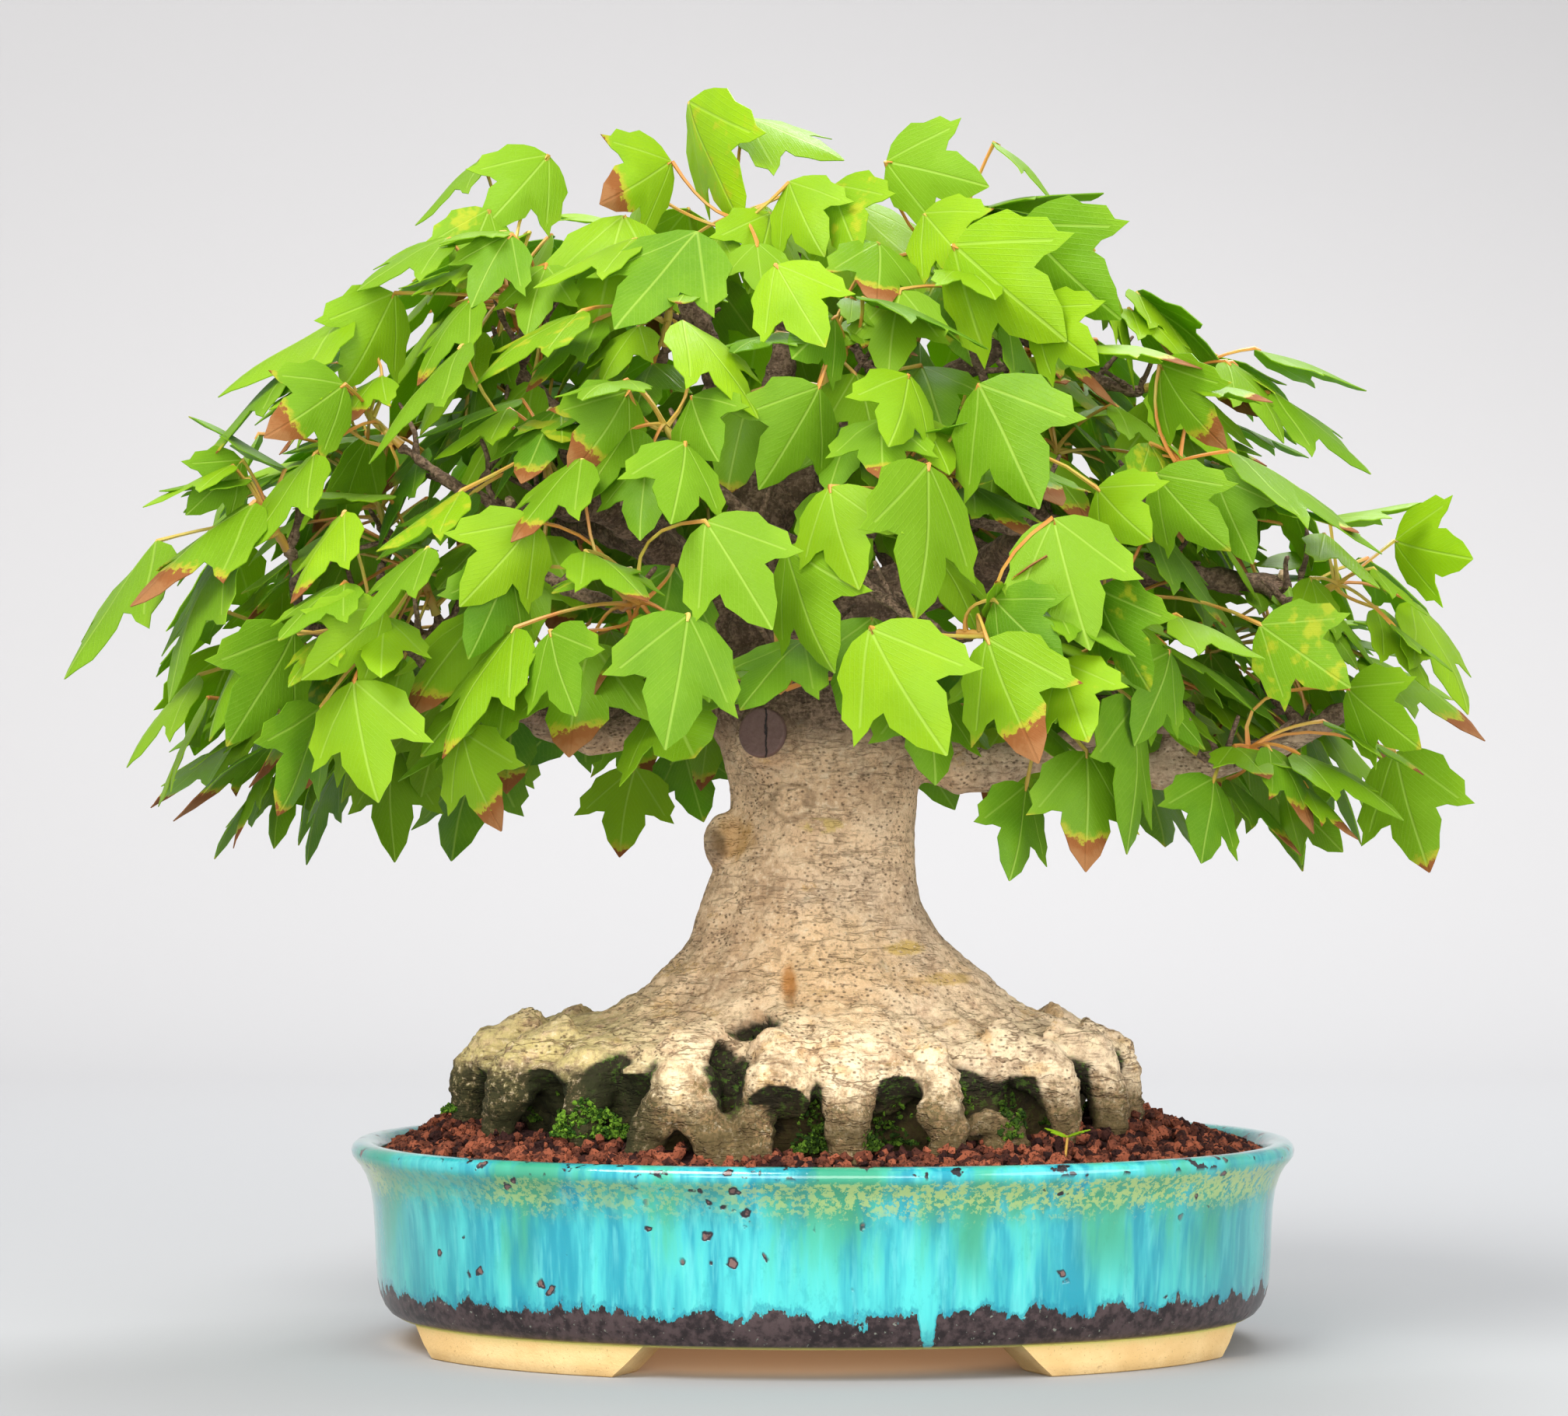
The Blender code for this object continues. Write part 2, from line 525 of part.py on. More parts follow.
def planned_leaves():
    leaves = [front_leaf(i, leaf) for i, leaf in enumerate(FRONT_LEAVES)]
    for kind, count, *spread in LEAF_GROUPS:
        leaves += [dome_leaf(kind, i, count, *spread) for i in range(count)]
    return leaves


def gather(points, count):
    """Groups points round count centres: the centres and each point's group, none larger than a stem carries."""
    places = np.array([list(p) for p in points])
    centres = [places[0]]
    while len(centres) < count:
        distances = np.min([np.sum((places - c) ** 2, axis=1) for c in centres], axis=0)
        centres.append(places[int(np.argmax(distances))])
    centres = np.array(centres)
    for _ in range(14):
        group = np.argmin(((places[:, None] - centres[None]) ** 2).sum(axis=2), axis=1)
        centres = np.array([places[group == k].mean(axis=0) if (group == k).any() else centres[k]
                            for k in range(count)])
    gaps = ((places[:, None] - centres[None]) ** 2).sum(axis=2)
    room = [4 * STEM_PARTS] * count
    group = np.zeros(len(places), dtype=int)
    for point in np.argsort(gaps.min(axis=1), kind="stable"):
        group[point] = next(k for k in np.argsort(gaps[point], kind="stable") if room[k] > 0)
        room[group[point]] -= 1
    return [Vector(c) for c in centres], group


class Obstacles:
    """Solids already placed, for finding out whether a new one would touch them."""

    def __init__(self):
        self.low, self.high, self.trees = [], [], []

    def add(self, shape):
        verts, _ = shape
        points = np.array([list(v) for v in verts])
        self.low.append(points.min(axis=0))
        self.high.append(points.max(axis=0))
        self.trees.append(BVHTree.FromPolygons(*shape))

    def touches(self, shape):
        verts, _ = shape
        points = np.array([list(v) for v in verts])
        low, high = points.min(axis=0), points.max(axis=0)
        near = np.all((np.array(self.low) < high) & (np.array(self.high) > low), axis=1).nonzero()[0]
        if not len(near):
            return False
        tree = BVHTree.FromPolygons(*shape)
        return any(self.trees[k].overlap(tree) for k in near)


def skin_of(sections):
    """Vertices and faces of a chain of four-cornered sections, with its two ends."""
    verts = [corner for one in sections for corner in one]
    faces = []
    for k in range(len(sections) - 1):
        for i in range(4):
            j = (i + 1) % 4
            faces.append((4 * k + i, 4 * k + j, 4 * k + 4 + j, 4 * k + 4 + i))
    last = 4 * (len(sections) - 1)
    return verts, faces + [(3, 2, 1, 0), (last, last + 1, last + 2, last + 3)]


def path_sections(path, extra=0.0):
    """Square sections along a path of points and radii."""
    sections = []
    for k, (point, radius) in enumerate(path):
        before, after = path[max(0, k - 1)][0], path[min(len(path) - 1, k + 1)][0]
        forward = (after - before).normalized()
        reach = (radius + extra) * 1.1
        sections.append(section(point, forward, across_to(forward, Vector((0.1, 0.2, 1))), reach, reach))
    return sections


def blade_sections(base, forward, face, length, width, extra=0.0):
    """Sections of a leaf blade: a folded three-lobed plate that bends down towards its tip."""
    side = forward.cross(face)
    sections = []
    for mid_share, side_share, half in LEAF_OUTLINE:
        def place(share, out):
            drop = 0.14 * share * share * length + 0.16 * abs(out)
            return base + forward * share * length + side * out - face * drop
        out = half * width + extra
        middle = place(mid_share, 0.0)
        rise = face * (LEAF_THICKNESS / 2 + extra)
        if half < 0.1:
            rise = face * (0.0003 + extra)
        sections.append([middle + rise, place(side_share, out), middle - rise, place(side_share, -out)])
    return sections


def stalk_sections(start, outward, base, forward, face, extra, first):
    """Sections of an arched leaf stalk from the stem to the blade."""
    reach = (base - start).length
    bend = start + outward * reach * 0.40 + Vector((0, 0, reach * 0.22))
    sections = []
    for t in (first, 1.0):
        point = start * (1 - t) ** 2 + bend * 2 * t * (1 - t) + base * t * t
        tangent = ((bend - start) * (1 - t) + (base - bend) * t).normalized()
        tangent = tangent.lerp(forward, 0.5 * t).normalized()
        radius = STALK_RADIUS + extra
        sections.append(section(point, tangent, across_to(tangent, face), radius, radius))
    return sections


def stem_corner_rings(shoot):
    """Square rings up the stem; leaves grow from the flats between them."""
    base, forward, right, front = shoot["base"], shoot["forward"], shoot["right"], shoot["front"]
    rings = []
    for k in range(STEM_PARTS + 1):
        middle = base + forward * (GAP + STEM_LENGTH * k / STEM_PARTS)
        half = STEM_RADIUS * (1 - 0.12 * k)
        rings.append([middle + (right + front) * half, middle + (front - right) * half,
                      middle - (right + front) * half, middle + (right - front) * half])
    return rings


def stem_flats(shoot):
    """Middle and outward direction of each flat on the stem."""
    rings = stem_corner_rings(shoot)
    flats = []
    for low, high in zip(rings, rings[1:]):
        for i in range(4):
            j = (i + 1) % 4
            middle = (low[i] + low[j] + high[i] + high[j]) / 4
            outward = across_to(shoot["forward"], (low[i] + low[j]) / 2 - sum(low, Vector()) / 4)
            flats.append((middle, outward))
    return flats


def plan_shoots(leaves):
    """Where each shoot stands, and the twig that carries it."""
    centres, group = gather([leaf[0] for leaf in leaves], SHOOTS)
    spots = limb_spots()
    heart = Vector((CROWN_MIDDLE[0], CROWN_MIDDLE[1], CROWN_MIDDLE[2] - 10)) * MM
    shoots = []
    for k, centre in enumerate(centres):
        inward = (heart - centre).normalized()
        base = centre + inward * 0.020 - Vector((0, 0, 0.004))
        root, radius = min(spots, key=lambda s: (s[0] - base).length + 0.4 * max(0.0, s[0].z - base.z))
        while min((spot[0] - base).length for spot in spots) < TWIG_LEAST:
            base += Vector((0, 0, 0.2 * TWIG_LEAST))
        ahead = (base - root).normalized()
        forward = (ahead * 1.5 + (centre - base).normalized() + Vector((0, 0, 0.4))).normalized()
        right = across_to(forward, Vector((1, 0, 0.3)))
        start_radius = min(radius * 0.8, TWIG_START)
        middle = root.lerp(base, 0.5) - Vector((0, 0, 0.08)) * (base - root).length
        twig = [(root, start_radius), (middle, (start_radius + TWIG_END) / 2),
                (base - forward * 0.004, TWIG_END), (base, TWIG_END)]
        shoots.append({"base": base, "forward": forward, "right": right, "front": forward.cross(right),
                       "twig": twig, "members": [int(i) for i in np.nonzero(group == k)[0]], "leaves": []})
    return shoots


def wood_obstacles():
    """The trunk and branches as plain shapes that leaves keep clear of."""
    solids = Obstacles()
    heights = [row[0] * MM for row in TRUNK_SECTIONS]
    verts = [point for height in heights for point in trunk_ring(height)]
    faces = []
    for k in range(len(heights) - 1):
        for i in range(SEGMENTS):
            j = (i + 1) % SEGMENTS
            a, b = k * SEGMENTS, (k + 1) * SEGMENTS
            faces.append((a + i, a + j, b + j, b + i))
    solids.add((verts, faces))
    for path in limb_paths():
        solids.add(skin_of(path_sections(path)))
    cut = Vector(CUT_PLACE) * MM
    view = (Vector(EYE) * MM - cut).normalized()
    solids.add(skin_of(path_sections([(cut, CUT_RADIUS), (cut + view * CUT_VIEW, CUT_RADIUS)])))
    return solids


def clear_stems(shoots, solids):
    """Moves a stem a little where it would touch a twig or another stem."""
    for shoot in shoots:
        path = [(point, radius) for point, radius in shoot["twig"]]
        solids.add(skin_of(path_sections(path)))
    for k, shoot in enumerate(shoots):
        chance = random.Random(f"stem {k}")
        turned = shoot["forward"]
        for attempt in range(60):
            tip = shoot["base"] + turned * (STEM_LENGTH + 0.001)
            start = shoot["base"] + turned * 0.0035
            path = [(start, STEM_RADIUS + LEAF_CLEARANCE), (tip, STEM_RADIUS + LEAF_CLEARANCE)]
            if not solids.touches(skin_of(path_sections(path))):
                break
            drift = Vector([chance.uniform(-1, 1) for _ in range(3)])
            turned = (shoot["forward"] + drift * 0.02 * attempt).normalized()
        else:
            print("stem not clear", k)
        shoot["forward"] = turned
        shoot["right"] = across_to(turned, shoot["right"])
        shoot["front"] = turned.cross(shoot["right"])
        tip = shoot["base"] + turned * STEM_LENGTH
        solids.add(skin_of(path_sections([(shoot["base"] + turned * GAP, STEM_RADIUS), (tip, STEM_RADIUS)])))


def pick_flat(flats, used, base):
    """The free flat of the stem that faces the leaf best."""
    free = [k for k in range(len(flats)) if k not in used]
    return max(free, key=lambda k: flats[k][1].dot((base - flats[k][0]).normalized()) + 0.04 * (k // 4))


def place_leaf(shoot, leaf, name, solids):
    """Settles one leaf clear of all that is placed, turning, moving and shrinking it as little as it can."""
    base, forward, face, length, width = leaf
    flats = stem_flats(shoot)
    chance = random.Random(name)
    for attempt in range(400):
        strength = attempt / 60
        drift = Vector([chance.uniform(-1, 1) for _ in range(3)])
        turn = Vector([chance.uniform(-1, 1) for _ in range(3)])
        flat = pick_flat(flats, shoot["used"], base) if attempt % 3 < 2 else chance.choice(
            [k for k in range(len(flats)) if k not in shoot["used"]])
        start, outward = flats[flat]
        size = max(0.42, 1 - 0.0022 * attempt)
        spot = base.lerp(start + (base - start).normalized() * 0.012, min(0.75, 0.0025 * attempt))
        spot = spot + drift * 0.006 * strength
        ahead = (forward + turn * 0.22 * min(strength, 4)).normalized()
        up = across_to(ahead, face + drift * 0.2 * min(strength, 4))
        settled = {"start": start, "outward": outward, "base": spot, "forward": ahead, "face": up,
                   "length": length * size, "width": width * size, "flat": flat}
        if not solids.touches(leaf_shape(settled, LEAF_CLEARANCE)):
            break
    else:
        print("leaf not clear", name)
    solids.add(leaf_shape(settled, 0.0))
    shoot["used"].add(settled["flat"])
    shoot["leaves"].append(settled)
    return attempt


def leaf_sections(leaf, extra, first):
    stalk = stalk_sections(leaf["start"], leaf["outward"], leaf["base"], leaf["forward"], leaf["face"], extra, first)
    blade = blade_sections(leaf["base"], leaf["forward"], leaf["face"], leaf["length"], leaf["width"], extra)
    return stalk + blade


def leaf_shape(leaf, extra):
    """The leaf as a plain shape; with extra round it, its stalk starts clear of its own stem."""
    reach = (leaf["base"] - leaf["start"]).length
    return skin_of(leaf_sections(leaf, extra, min(0.5, (STALK_ROOT + 1.5 * extra) / reach)))


def growth_plan():
    """All shoots with their settled leaves."""
    leaves = planned_leaves()
    shoots = plan_shoots(leaves)
    solids = wood_obstacles()
    clear_stems(shoots, solids)
    owner = {}
    for k, shoot in enumerate(shoots):
        shoot["used"] = set()
        for member in shoot["members"]:
            owner[member] = k
    worst = 0
    for index, leaf in enumerate(leaves):
        worst = max(worst, place_leaf(shoots[owner[index]], leaf, f"leaf {index}", solids))
    print("leaves", len(leaves), "shoots", len(shoots), "most attempts", worst)
    return shoots


# ---------------------------------------------------------------- trunk
def tube_mesh(name, paths, resolution):
    """Closed tapered tubes along paths of points and radii, as one mesh."""
    curve = bpy.data.curves.new(name, "CURVE")
    curve.dimensions = "3D"
    curve.bevel_depth = MM
    curve.bevel_resolution = resolution
    curve.use_fill_caps = True
    for path in paths:
        line = curve.splines.new("POLY")
        line.points.add(len(path) - 1)
        for spot, (point, radius) in zip(line.points, path):
            spot.co = (*point, 1.0)
            spot.radius = radius / MM
    holder = bpy.data.objects.new(name, curve)
    cutters.objects.link(holder)
    bpy.context.view_layer.update()
    depsgraph = bpy.context.evaluated_depsgraph_get()
    mesh = bpy.data.meshes.new_from_object(holder.evaluated_get(depsgraph))
    bpy.data.objects.remove(holder)
    bpy.data.curves.remove(curve)
    bm = bmesh.new()
    bm.from_mesh(mesh)
    bmesh.ops.remove_doubles(bm, verts=bm.verts, dist=0.00001)
    bmesh.ops.recalc_face_normals(bm, faces=bm.faces)
    bm.to_mesh(mesh)
    bm.free()
    return mesh


def ball_mesh(name, balls):
    """Ellipsoids for healed swellings."""
    bm = bmesh.new()
    for x, y, z, rx, ry, rz in balls:
        place = Matrix.Translation(Vector((x, y, z)) * MM) @ Matrix.Diagonal((rx * MM, ry * MM, rz * MM, 1))
        bmesh.ops.create_icosphere(bm, subdivisions=2, radius=1.0, matrix=place)
    mesh = bpy.data.meshes.new(name)
    bm.to_mesh(mesh)
    bm.free()
    return mesh


def cut_direction():
    return Vector((-0.35, -1.0, 0.10)).normalized()


def disc_bmesh(radius, depth, middle):
    bm = bmesh.new()
    bmesh.ops.create_cone(bm, cap_ends=True, segments=20, radius1=radius, radius2=radius, depth=depth)
    turn = cut_direction().to_track_quat("Z", "Y").to_matrix().to_4x4()
    bmesh.ops.transform(bm, matrix=Matrix.Translation(middle) @ turn, verts=bm.verts)
    return bm


def build_trunk(shoots):
    heights = [row[0] * MM for row in TRUNK_SECTIONS]
    middle_low, middle_high = TRUNK_SECTIONS[0][3] * MM, TRUNK_SECTIONS[-1][3] * MM
    bm = bmesh.new()
    loft(bm, [trunk_ring(height) for height in heights],
         Vector((middle_low, 0, heights[0])), Vector((middle_high, 0, heights[-1] + 0.004)))
    trunk = add_part("trunk", bm, "maple_bark", origin)
    limbs = tube_mesh("limb_tubes", limb_paths(), 1)
    twigs = tube_mesh("twig_tubes", [shoot["twig"] for shoot in shoots], 0)
    join_with(trunk, add_tool("limb_tubes", limbs), "UNION")
    join_with(trunk, add_tool("twig_tubes", twigs), "UNION")
    join_with(trunk, add_tool("burls", ball_mesh("burls", BURLS)), "UNION")
    face = Vector(CUT_PLACE) * MM
    bm = disc_bmesh(CUT_RADIUS + 0.001, CUT_STUB, face - cut_direction() * CUT_STUB / 2)
    stub = bpy.data.meshes.new("cut_stub")
    bm.to_mesh(stub)
    bm.free()
    join_with(trunk, add_tool("cut_stub", stub), "UNION")
    paste = disc_bmesh(CUT_RADIUS, PASTE_THICKNESS, face + cut_direction() * (GAP + PASTE_THICKNESS / 2))
    add_part("wound_paste", paste, "wound_paste", origin)
    return trunk


# ---------------------------------------------------------------- leafy shoots
def push_out(bm, face, sections):
    """Extrudes a four-cornered face through the sections in turn."""
    shift = None
    for corners in sections:
        made = bmesh.ops.extrude_discrete_faces(bm, faces=[face])["faces"][0]
        verts = list(made.verts)
        if shift is None:
            middle = sum((v.co for v in verts), Vector()) / 4
            centre = sum(corners, Vector()) / 4
            shift = min(range(4), key=lambda s: sum(
                ((verts[i].co - middle).normalized() - (corners[(i + s) % 4] - centre).normalized()).length
                for i in range(4)))
        for i, vert in enumerate(verts):
            vert.co = corners[(i + shift) % 4]
        face = made
    return face


def build_shoot(name, shoot):
    bm = bmesh.new()
    rings = stem_corner_rings(shoot)
    loft(bm, rings)
    bmesh.ops.recalc_face_normals(bm, faces=bm.faces)
    for leaf in shoot["leaves"]:
        face = min(bm.faces, key=lambda f: (f.calc_center_median() - leaf["start"]).length)
        reach = (leaf["base"] - leaf["start"]).length
        push_out(bm, face, leaf_sections(leaf, 0.0, STALK_ROOT / reach))
    return add_part(name, bm, "leaf_green", origin)


def build_seedling():
    foot = soil_point(SEEDLING_FLAT, SEEDLING_SHARE)
    forward = Vector((0.1, -0.1, 1)).normalized()
    right = across_to(forward, Vector((1, 0, 0)))
    half = SEEDLING_STEM / 2
    bm = bmesh.new()
    rings = []
    for share in (0.0, 0.7, 1.0):
        middle = foot + forward * (GAP + SEEDLING_HEIGHT * share)
        rings.append(section(middle, forward, right, half, half))
    loft(bm, rings)
    bmesh.ops.recalc_face_normals(bm, faces=bm.faces)
    for side in (-1, 1):
        out = right * side
        face = max(bm.faces, key=lambda f: f.normal.dot(out) + 40 * f.calc_center_median().z)
        start = face.calc_center_median()
        sections = []
        for reach, half in ((0.0012, 0.0004), (0.0030, 0.0016), (0.0052, 0.0015), (0.0066, 0.0003)):
            middle = start + out * reach + Vector((0, 0, 0.15 * reach))
            sections.append(section(middle, out, across_to(out, Vector((0, 0, 1))), half, 0.0004))
        push_out(bm, face, sections)
    return add_part("seedling", bm, "leaf_green", origin)


def centre_on_origin():
    """Moves the whole model so that the middle of its outline on the table is the origin."""
    bpy.context.view_layer.update()
    depsgraph = bpy.context.evaluated_depsgraph_get()
    corners = []
    for made in parts.objects:
        solid = made.evaluated_get(depsgraph)
        corners += [solid.matrix_world @ Vector(corner) for corner in solid.bound_box]
    low = [min(c[k] for c in corners) for k in range(3)]
    high = [max(c[k] for c in corners) for k in range(3)]
    origin.location = (-(low[0] + high[0]) / 2, -(low[1] + high[1]) / 2, 0)
    bpy.context.view_layer.update()
    print("outline, mm:", [(round(a / MM, 1), round(b / MM, 1)) for a, b in zip(low, high)])


empty_scene()
parts = new_collection("bonsai_tree_in_pot")
cutters = new_collection("guides")
origin = bpy.data.objects.new("bonsai_origin", None)
parts.objects.link(origin)

build_pot()
build_screens()
build_soil()
build_moss()
plan = growth_plan()
build_trunk(plan)
for number, one in enumerate(plan, start=1):
    build_shoot(f"shoot_{number:02d}", one)
build_seedling()
centre_on_origin()
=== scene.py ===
# %% [markdown]
# # Trident maple bonsai in a glazed oval pot
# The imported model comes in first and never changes: the pot, the soil bed, the wood and one solid for every
# leafy shoot. Each cell below makes the finished surface of one of those pieces, in the same place and size.

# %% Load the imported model
import json
import math
import random

import bmesh
import bpy
import numpy as np
from mathutils import Matrix, Vector, noise
from mathutils.kdtree import KDTree
from mathutils.bvhtree import BVHTree


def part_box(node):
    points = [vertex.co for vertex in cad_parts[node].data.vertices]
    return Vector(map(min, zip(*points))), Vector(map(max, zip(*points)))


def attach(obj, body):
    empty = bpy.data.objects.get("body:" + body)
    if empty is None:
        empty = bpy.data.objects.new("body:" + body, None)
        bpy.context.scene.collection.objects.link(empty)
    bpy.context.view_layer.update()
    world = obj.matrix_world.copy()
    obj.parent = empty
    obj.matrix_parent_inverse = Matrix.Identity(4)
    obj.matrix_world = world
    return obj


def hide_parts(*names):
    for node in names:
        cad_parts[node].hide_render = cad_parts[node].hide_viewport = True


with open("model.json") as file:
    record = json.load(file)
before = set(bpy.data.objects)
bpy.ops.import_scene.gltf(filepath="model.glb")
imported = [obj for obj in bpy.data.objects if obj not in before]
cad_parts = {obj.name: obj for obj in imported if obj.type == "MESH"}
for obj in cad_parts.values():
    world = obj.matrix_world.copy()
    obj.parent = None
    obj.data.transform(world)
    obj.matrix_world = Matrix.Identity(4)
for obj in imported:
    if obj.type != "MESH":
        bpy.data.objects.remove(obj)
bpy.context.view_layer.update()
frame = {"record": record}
nodes = [part["node"] for part in frame["record"]["subparts"]]
pot_low, pot_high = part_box("pot")
MIDDLE = Vector(((pot_low[0] + pot_high[0]) / 2, (pot_low[1] + pot_high[1]) / 2, 0.0))
print("nodes", len(nodes), "pot middle", [round(v, 4) for v in MIDDLE])

# %% [markdown]
# The shaders are written as sums. A small class wraps a node's output, so that an expression such as
# `1 - mask * 0.5` adds the Math nodes by itself, and one method adds any other node.

# %% A small language for shader maths
class Wire:
    """One output socket, with arithmetic that adds Math nodes."""

    def __init__(self, tree, socket):
        self.tree, self.socket = tree, socket

    def math(self, operation, *values, swap=False):
        made = self.tree.nodes.new("ShaderNodeMath")
        made.operation = operation
        ordered = (list(values) + [self]) if swap else ([self] + list(values))
        for slot, value in zip(made.inputs, ordered):
            plug(self.tree, slot, value)
        return Wire(self.tree, made.outputs[0])

    def __add__(self, other): return self.math("ADD", other)
    def __radd__(self, other): return self.math("ADD", other)
    def __sub__(self, other): return self.math("SUBTRACT", other)
    def __rsub__(self, other): return self.math("SUBTRACT", other, swap=True)
    def __mul__(self, other): return self.math("MULTIPLY", other)
    def __rmul__(self, other): return self.math("MULTIPLY", other)
    def __truediv__(self, other): return self.math("DIVIDE", other)
    def __gt__(self, other): return self.math("GREATER_THAN", other)
    def __lt__(self, other): return self.math("LESS_THAN", other)


def plug(tree, slot, value):
    """Links a wire to a node's input, or sets the input's value."""
    if isinstance(value, Wire):
        tree.links.new(value.socket, slot)
    else:
        slot.default_value = value


class Finish:
    """A material being written: its nodes are added by name."""

    def __init__(self, name, **shader_values):
        self.material = bpy.data.materials.new(name)
        self.material.use_nodes = True
        self.tree = self.material.node_tree
        self.shader = self.tree.nodes["Principled BSDF"]
        for key, value in shader_values.items():
            self.shader.inputs[key.replace("_", " ")].default_value = value
        self.object = self.add("ShaderNodeTexCoord", out="Object")

    def add(self, kind, settings=None, out=0, **values):
        made = self.tree.nodes.new(kind)
        for key, value in (settings or {}).items():
            setattr(made, key, value)
        for key, value in values.items():
            plug(self.tree, made.inputs[key.replace("_", " ")], value)
        return Wire(self.tree, made.outputs[out])

    def stretched(self, vector, stretch):
        """The place that a texture is read at, scaled along X, Y and Z."""
        place = vector or self.object
        return self.add("ShaderNodeMapping", Vector=place, Scale=stretch) if stretch else place

    def noise(self, scale, detail=3.0, rough=0.5, vector=None, out="Fac", stretch=None):
        return self.add("ShaderNodeTexNoise", out=out, Vector=self.stretched(vector, stretch), Scale=scale,
                        Detail=detail, Roughness=rough)

    def cells(self, scale, vector=None, out="Distance", feature="F1", stretch=None):
        return self.add("ShaderNodeTexVoronoi", {"feature": feature}, out=out,
                        Vector=self.stretched(vector, stretch), Scale=scale)

    def step(self, value, low, high):
        """0 below low, 1 above high, smooth between."""
        return self.add("ShaderNodeMapRange", {"interpolation_type": "SMOOTHSTEP"}, out="Result",
                        Value=value, From_Min=low, From_Max=high)

    def mix(self, share, first, second):
        """From the first colour to the second. The Mix node's colour sockets are inputs 6 and 7, output 2."""
        made = self.tree.nodes.new("ShaderNodeMix")
        made.data_type = "RGBA"
        plug(self.tree, made.inputs[0], share)
        for slot, value in ((made.inputs[6], first), (made.inputs[7], second)):
            plug(self.tree, slot, value if isinstance(value, Wire) else (*value, 1.0))
        return Wire(self.tree, made.outputs[2])

    def attribute(self, name, out="Color"):
        return self.add("ShaderNodeAttribute", {"attribute_name": name}, out=out)

    def split(self, vector):
        made = self.tree.nodes.new("ShaderNodeSeparateXYZ")
        self.tree.links.new(vector.socket, made.inputs[0])
        return [Wire(self.tree, made.outputs[k]) for k in range(3)]

    def bump(self, height, strength, distance, below=None):
        values = {"Height": height, "Strength": strength, "Distance": distance}
        if below:
            values["Normal"] = below
        return self.add("ShaderNodeBump", out="Normal", **values)

    def feed(self, **sockets):
        for key, value in sockets.items():
            self.tree.links.new(value.socket, self.shader.inputs[key.replace("_", " ")])
        return self.material


# %% [markdown]
# Every finished piece is a mesh whose object stays at the origin. The helper below moves the mesh to the
# pot's middle, hides the imported nodes that the piece stands for, and ties it to the model's one body.

# %% Finishing a piece
def plain_mesh(name, bm):
    """Turns a bmesh into a mesh and frees it."""
    mesh = bpy.data.meshes.new(name)
    bm.to_mesh(mesh)
    bm.free()
    return mesh


def in_scene(name, data):
    made = bpy.data.objects.new(name, data)
    bpy.context.scene.collection.objects.link(made)
    return made


def finished(name, bm, materials, slot, *stands_for, smooth=True, sharp=40):
    bmesh.ops.translate(bm, vec=MIDDLE, verts=bm.verts)
    mesh = plain_mesh(name, bm)
    for one in materials:
        mesh.materials.append(one)
    if smooth:
        mesh.shade_smooth()
        mesh.set_sharp_from_angle(angle=math.radians(sharp))
    piece = in_scene(name, mesh)
    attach(piece, "root")
    if stands_for:
        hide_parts(*stands_for)
    return piece


def random_vector(chance):
    return Vector([chance.uniform(-1, 1) for _ in range(3)])


def skin_rings(bm, rings, material_index=0):
    """A closed tube through rings of equal count: one circle, extruded ring by ring."""
    verts = bmesh.ops.create_circle(bm, cap_ends=False, segments=len(rings[0]), radius=1.0)["verts"]
    edges = list({edge for vert in verts for edge in vert.link_edges})
    first = verts
    for vert, point in zip(verts, rings[0]):
        vert.co = point
    for ring in rings[1:]:
        made = bmesh.ops.extrude_edge_only(bm, edges=edges)["geom"]
        fresh = {v for v in made if isinstance(v, bmesh.types.BMVert)}
        edges = [e for e in made if isinstance(e, bmesh.types.BMEdge) and all(v in fresh for v in e.verts)]
        verts = [next(e.other_vert(v) for e in v.link_edges if e.other_vert(v) in fresh) for v in verts]
        for vert, point in zip(verts, ring):
            vert.co = point
    faces = {face for vert in first for face in vert.link_faces}
    grown = set(faces)
    while faces:
        faces = {f for face in faces for e in face.edges for f in e.link_faces} - grown
        grown |= faces
    for end in (list(reversed(first)), verts):
        grown.add(bm.faces.new(end))
    for face in grown:
        face.material_index = material_index


def triangulate_caps(bm):
    """Splits the many-sided faces that close a tube."""
    bmesh.ops.triangulate(bm, faces=[face for face in bm.faces if len(face.verts) > 4])


# %% [markdown]
# ## The growth plan
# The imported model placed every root, branch, shoot and leaf by rule, so that no two leaves touch. The same
# rules run again here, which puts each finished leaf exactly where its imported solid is.

# %% Sizes of the pot and the soil
MM = 0.001
SEGMENTS = 48  # flats round every oval or round ring
GAP = 0.0003  # clearance between pieces that touch
POT_LENGTH = 0.280
POT_DEPTH = 0.216
POT_HEIGHT = 0.060
FOOT_HEIGHT = 0.0085
WALL = 0.0085  # lip to inner wall at the mouth
FLOOR = 0.007
BASE_INSET = 0.0130
OVAL_POWER = 2.15  # 2 is an ellipse; more is squarer
FOOT_SLANT = 5.0  # degrees of oval that a foot loses from its top to its underside
FOOT_SPANS = [(203.0, 248.5), (293.5, 339.0), (23.0, 67.0), (113.0, 157.0)]  # degrees round the oval
DRAIN_RADIUS = 0.009
DRAIN_SPACING = 0.110
SCREEN_SIZE = 0.030
SCREEN_THICKNESS = 0.0010
SOIL_BELOW_RIM = 0.0045
SOIL_AT_ROOTS = 0.0650
SOIL_SIDE_RISE = 0.0045
SOIL_FRONT_DROP = 0.0040
POCKET_GAP = 0.0005
print("pot", POT_LENGTH, POT_DEPTH, POT_HEIGHT)

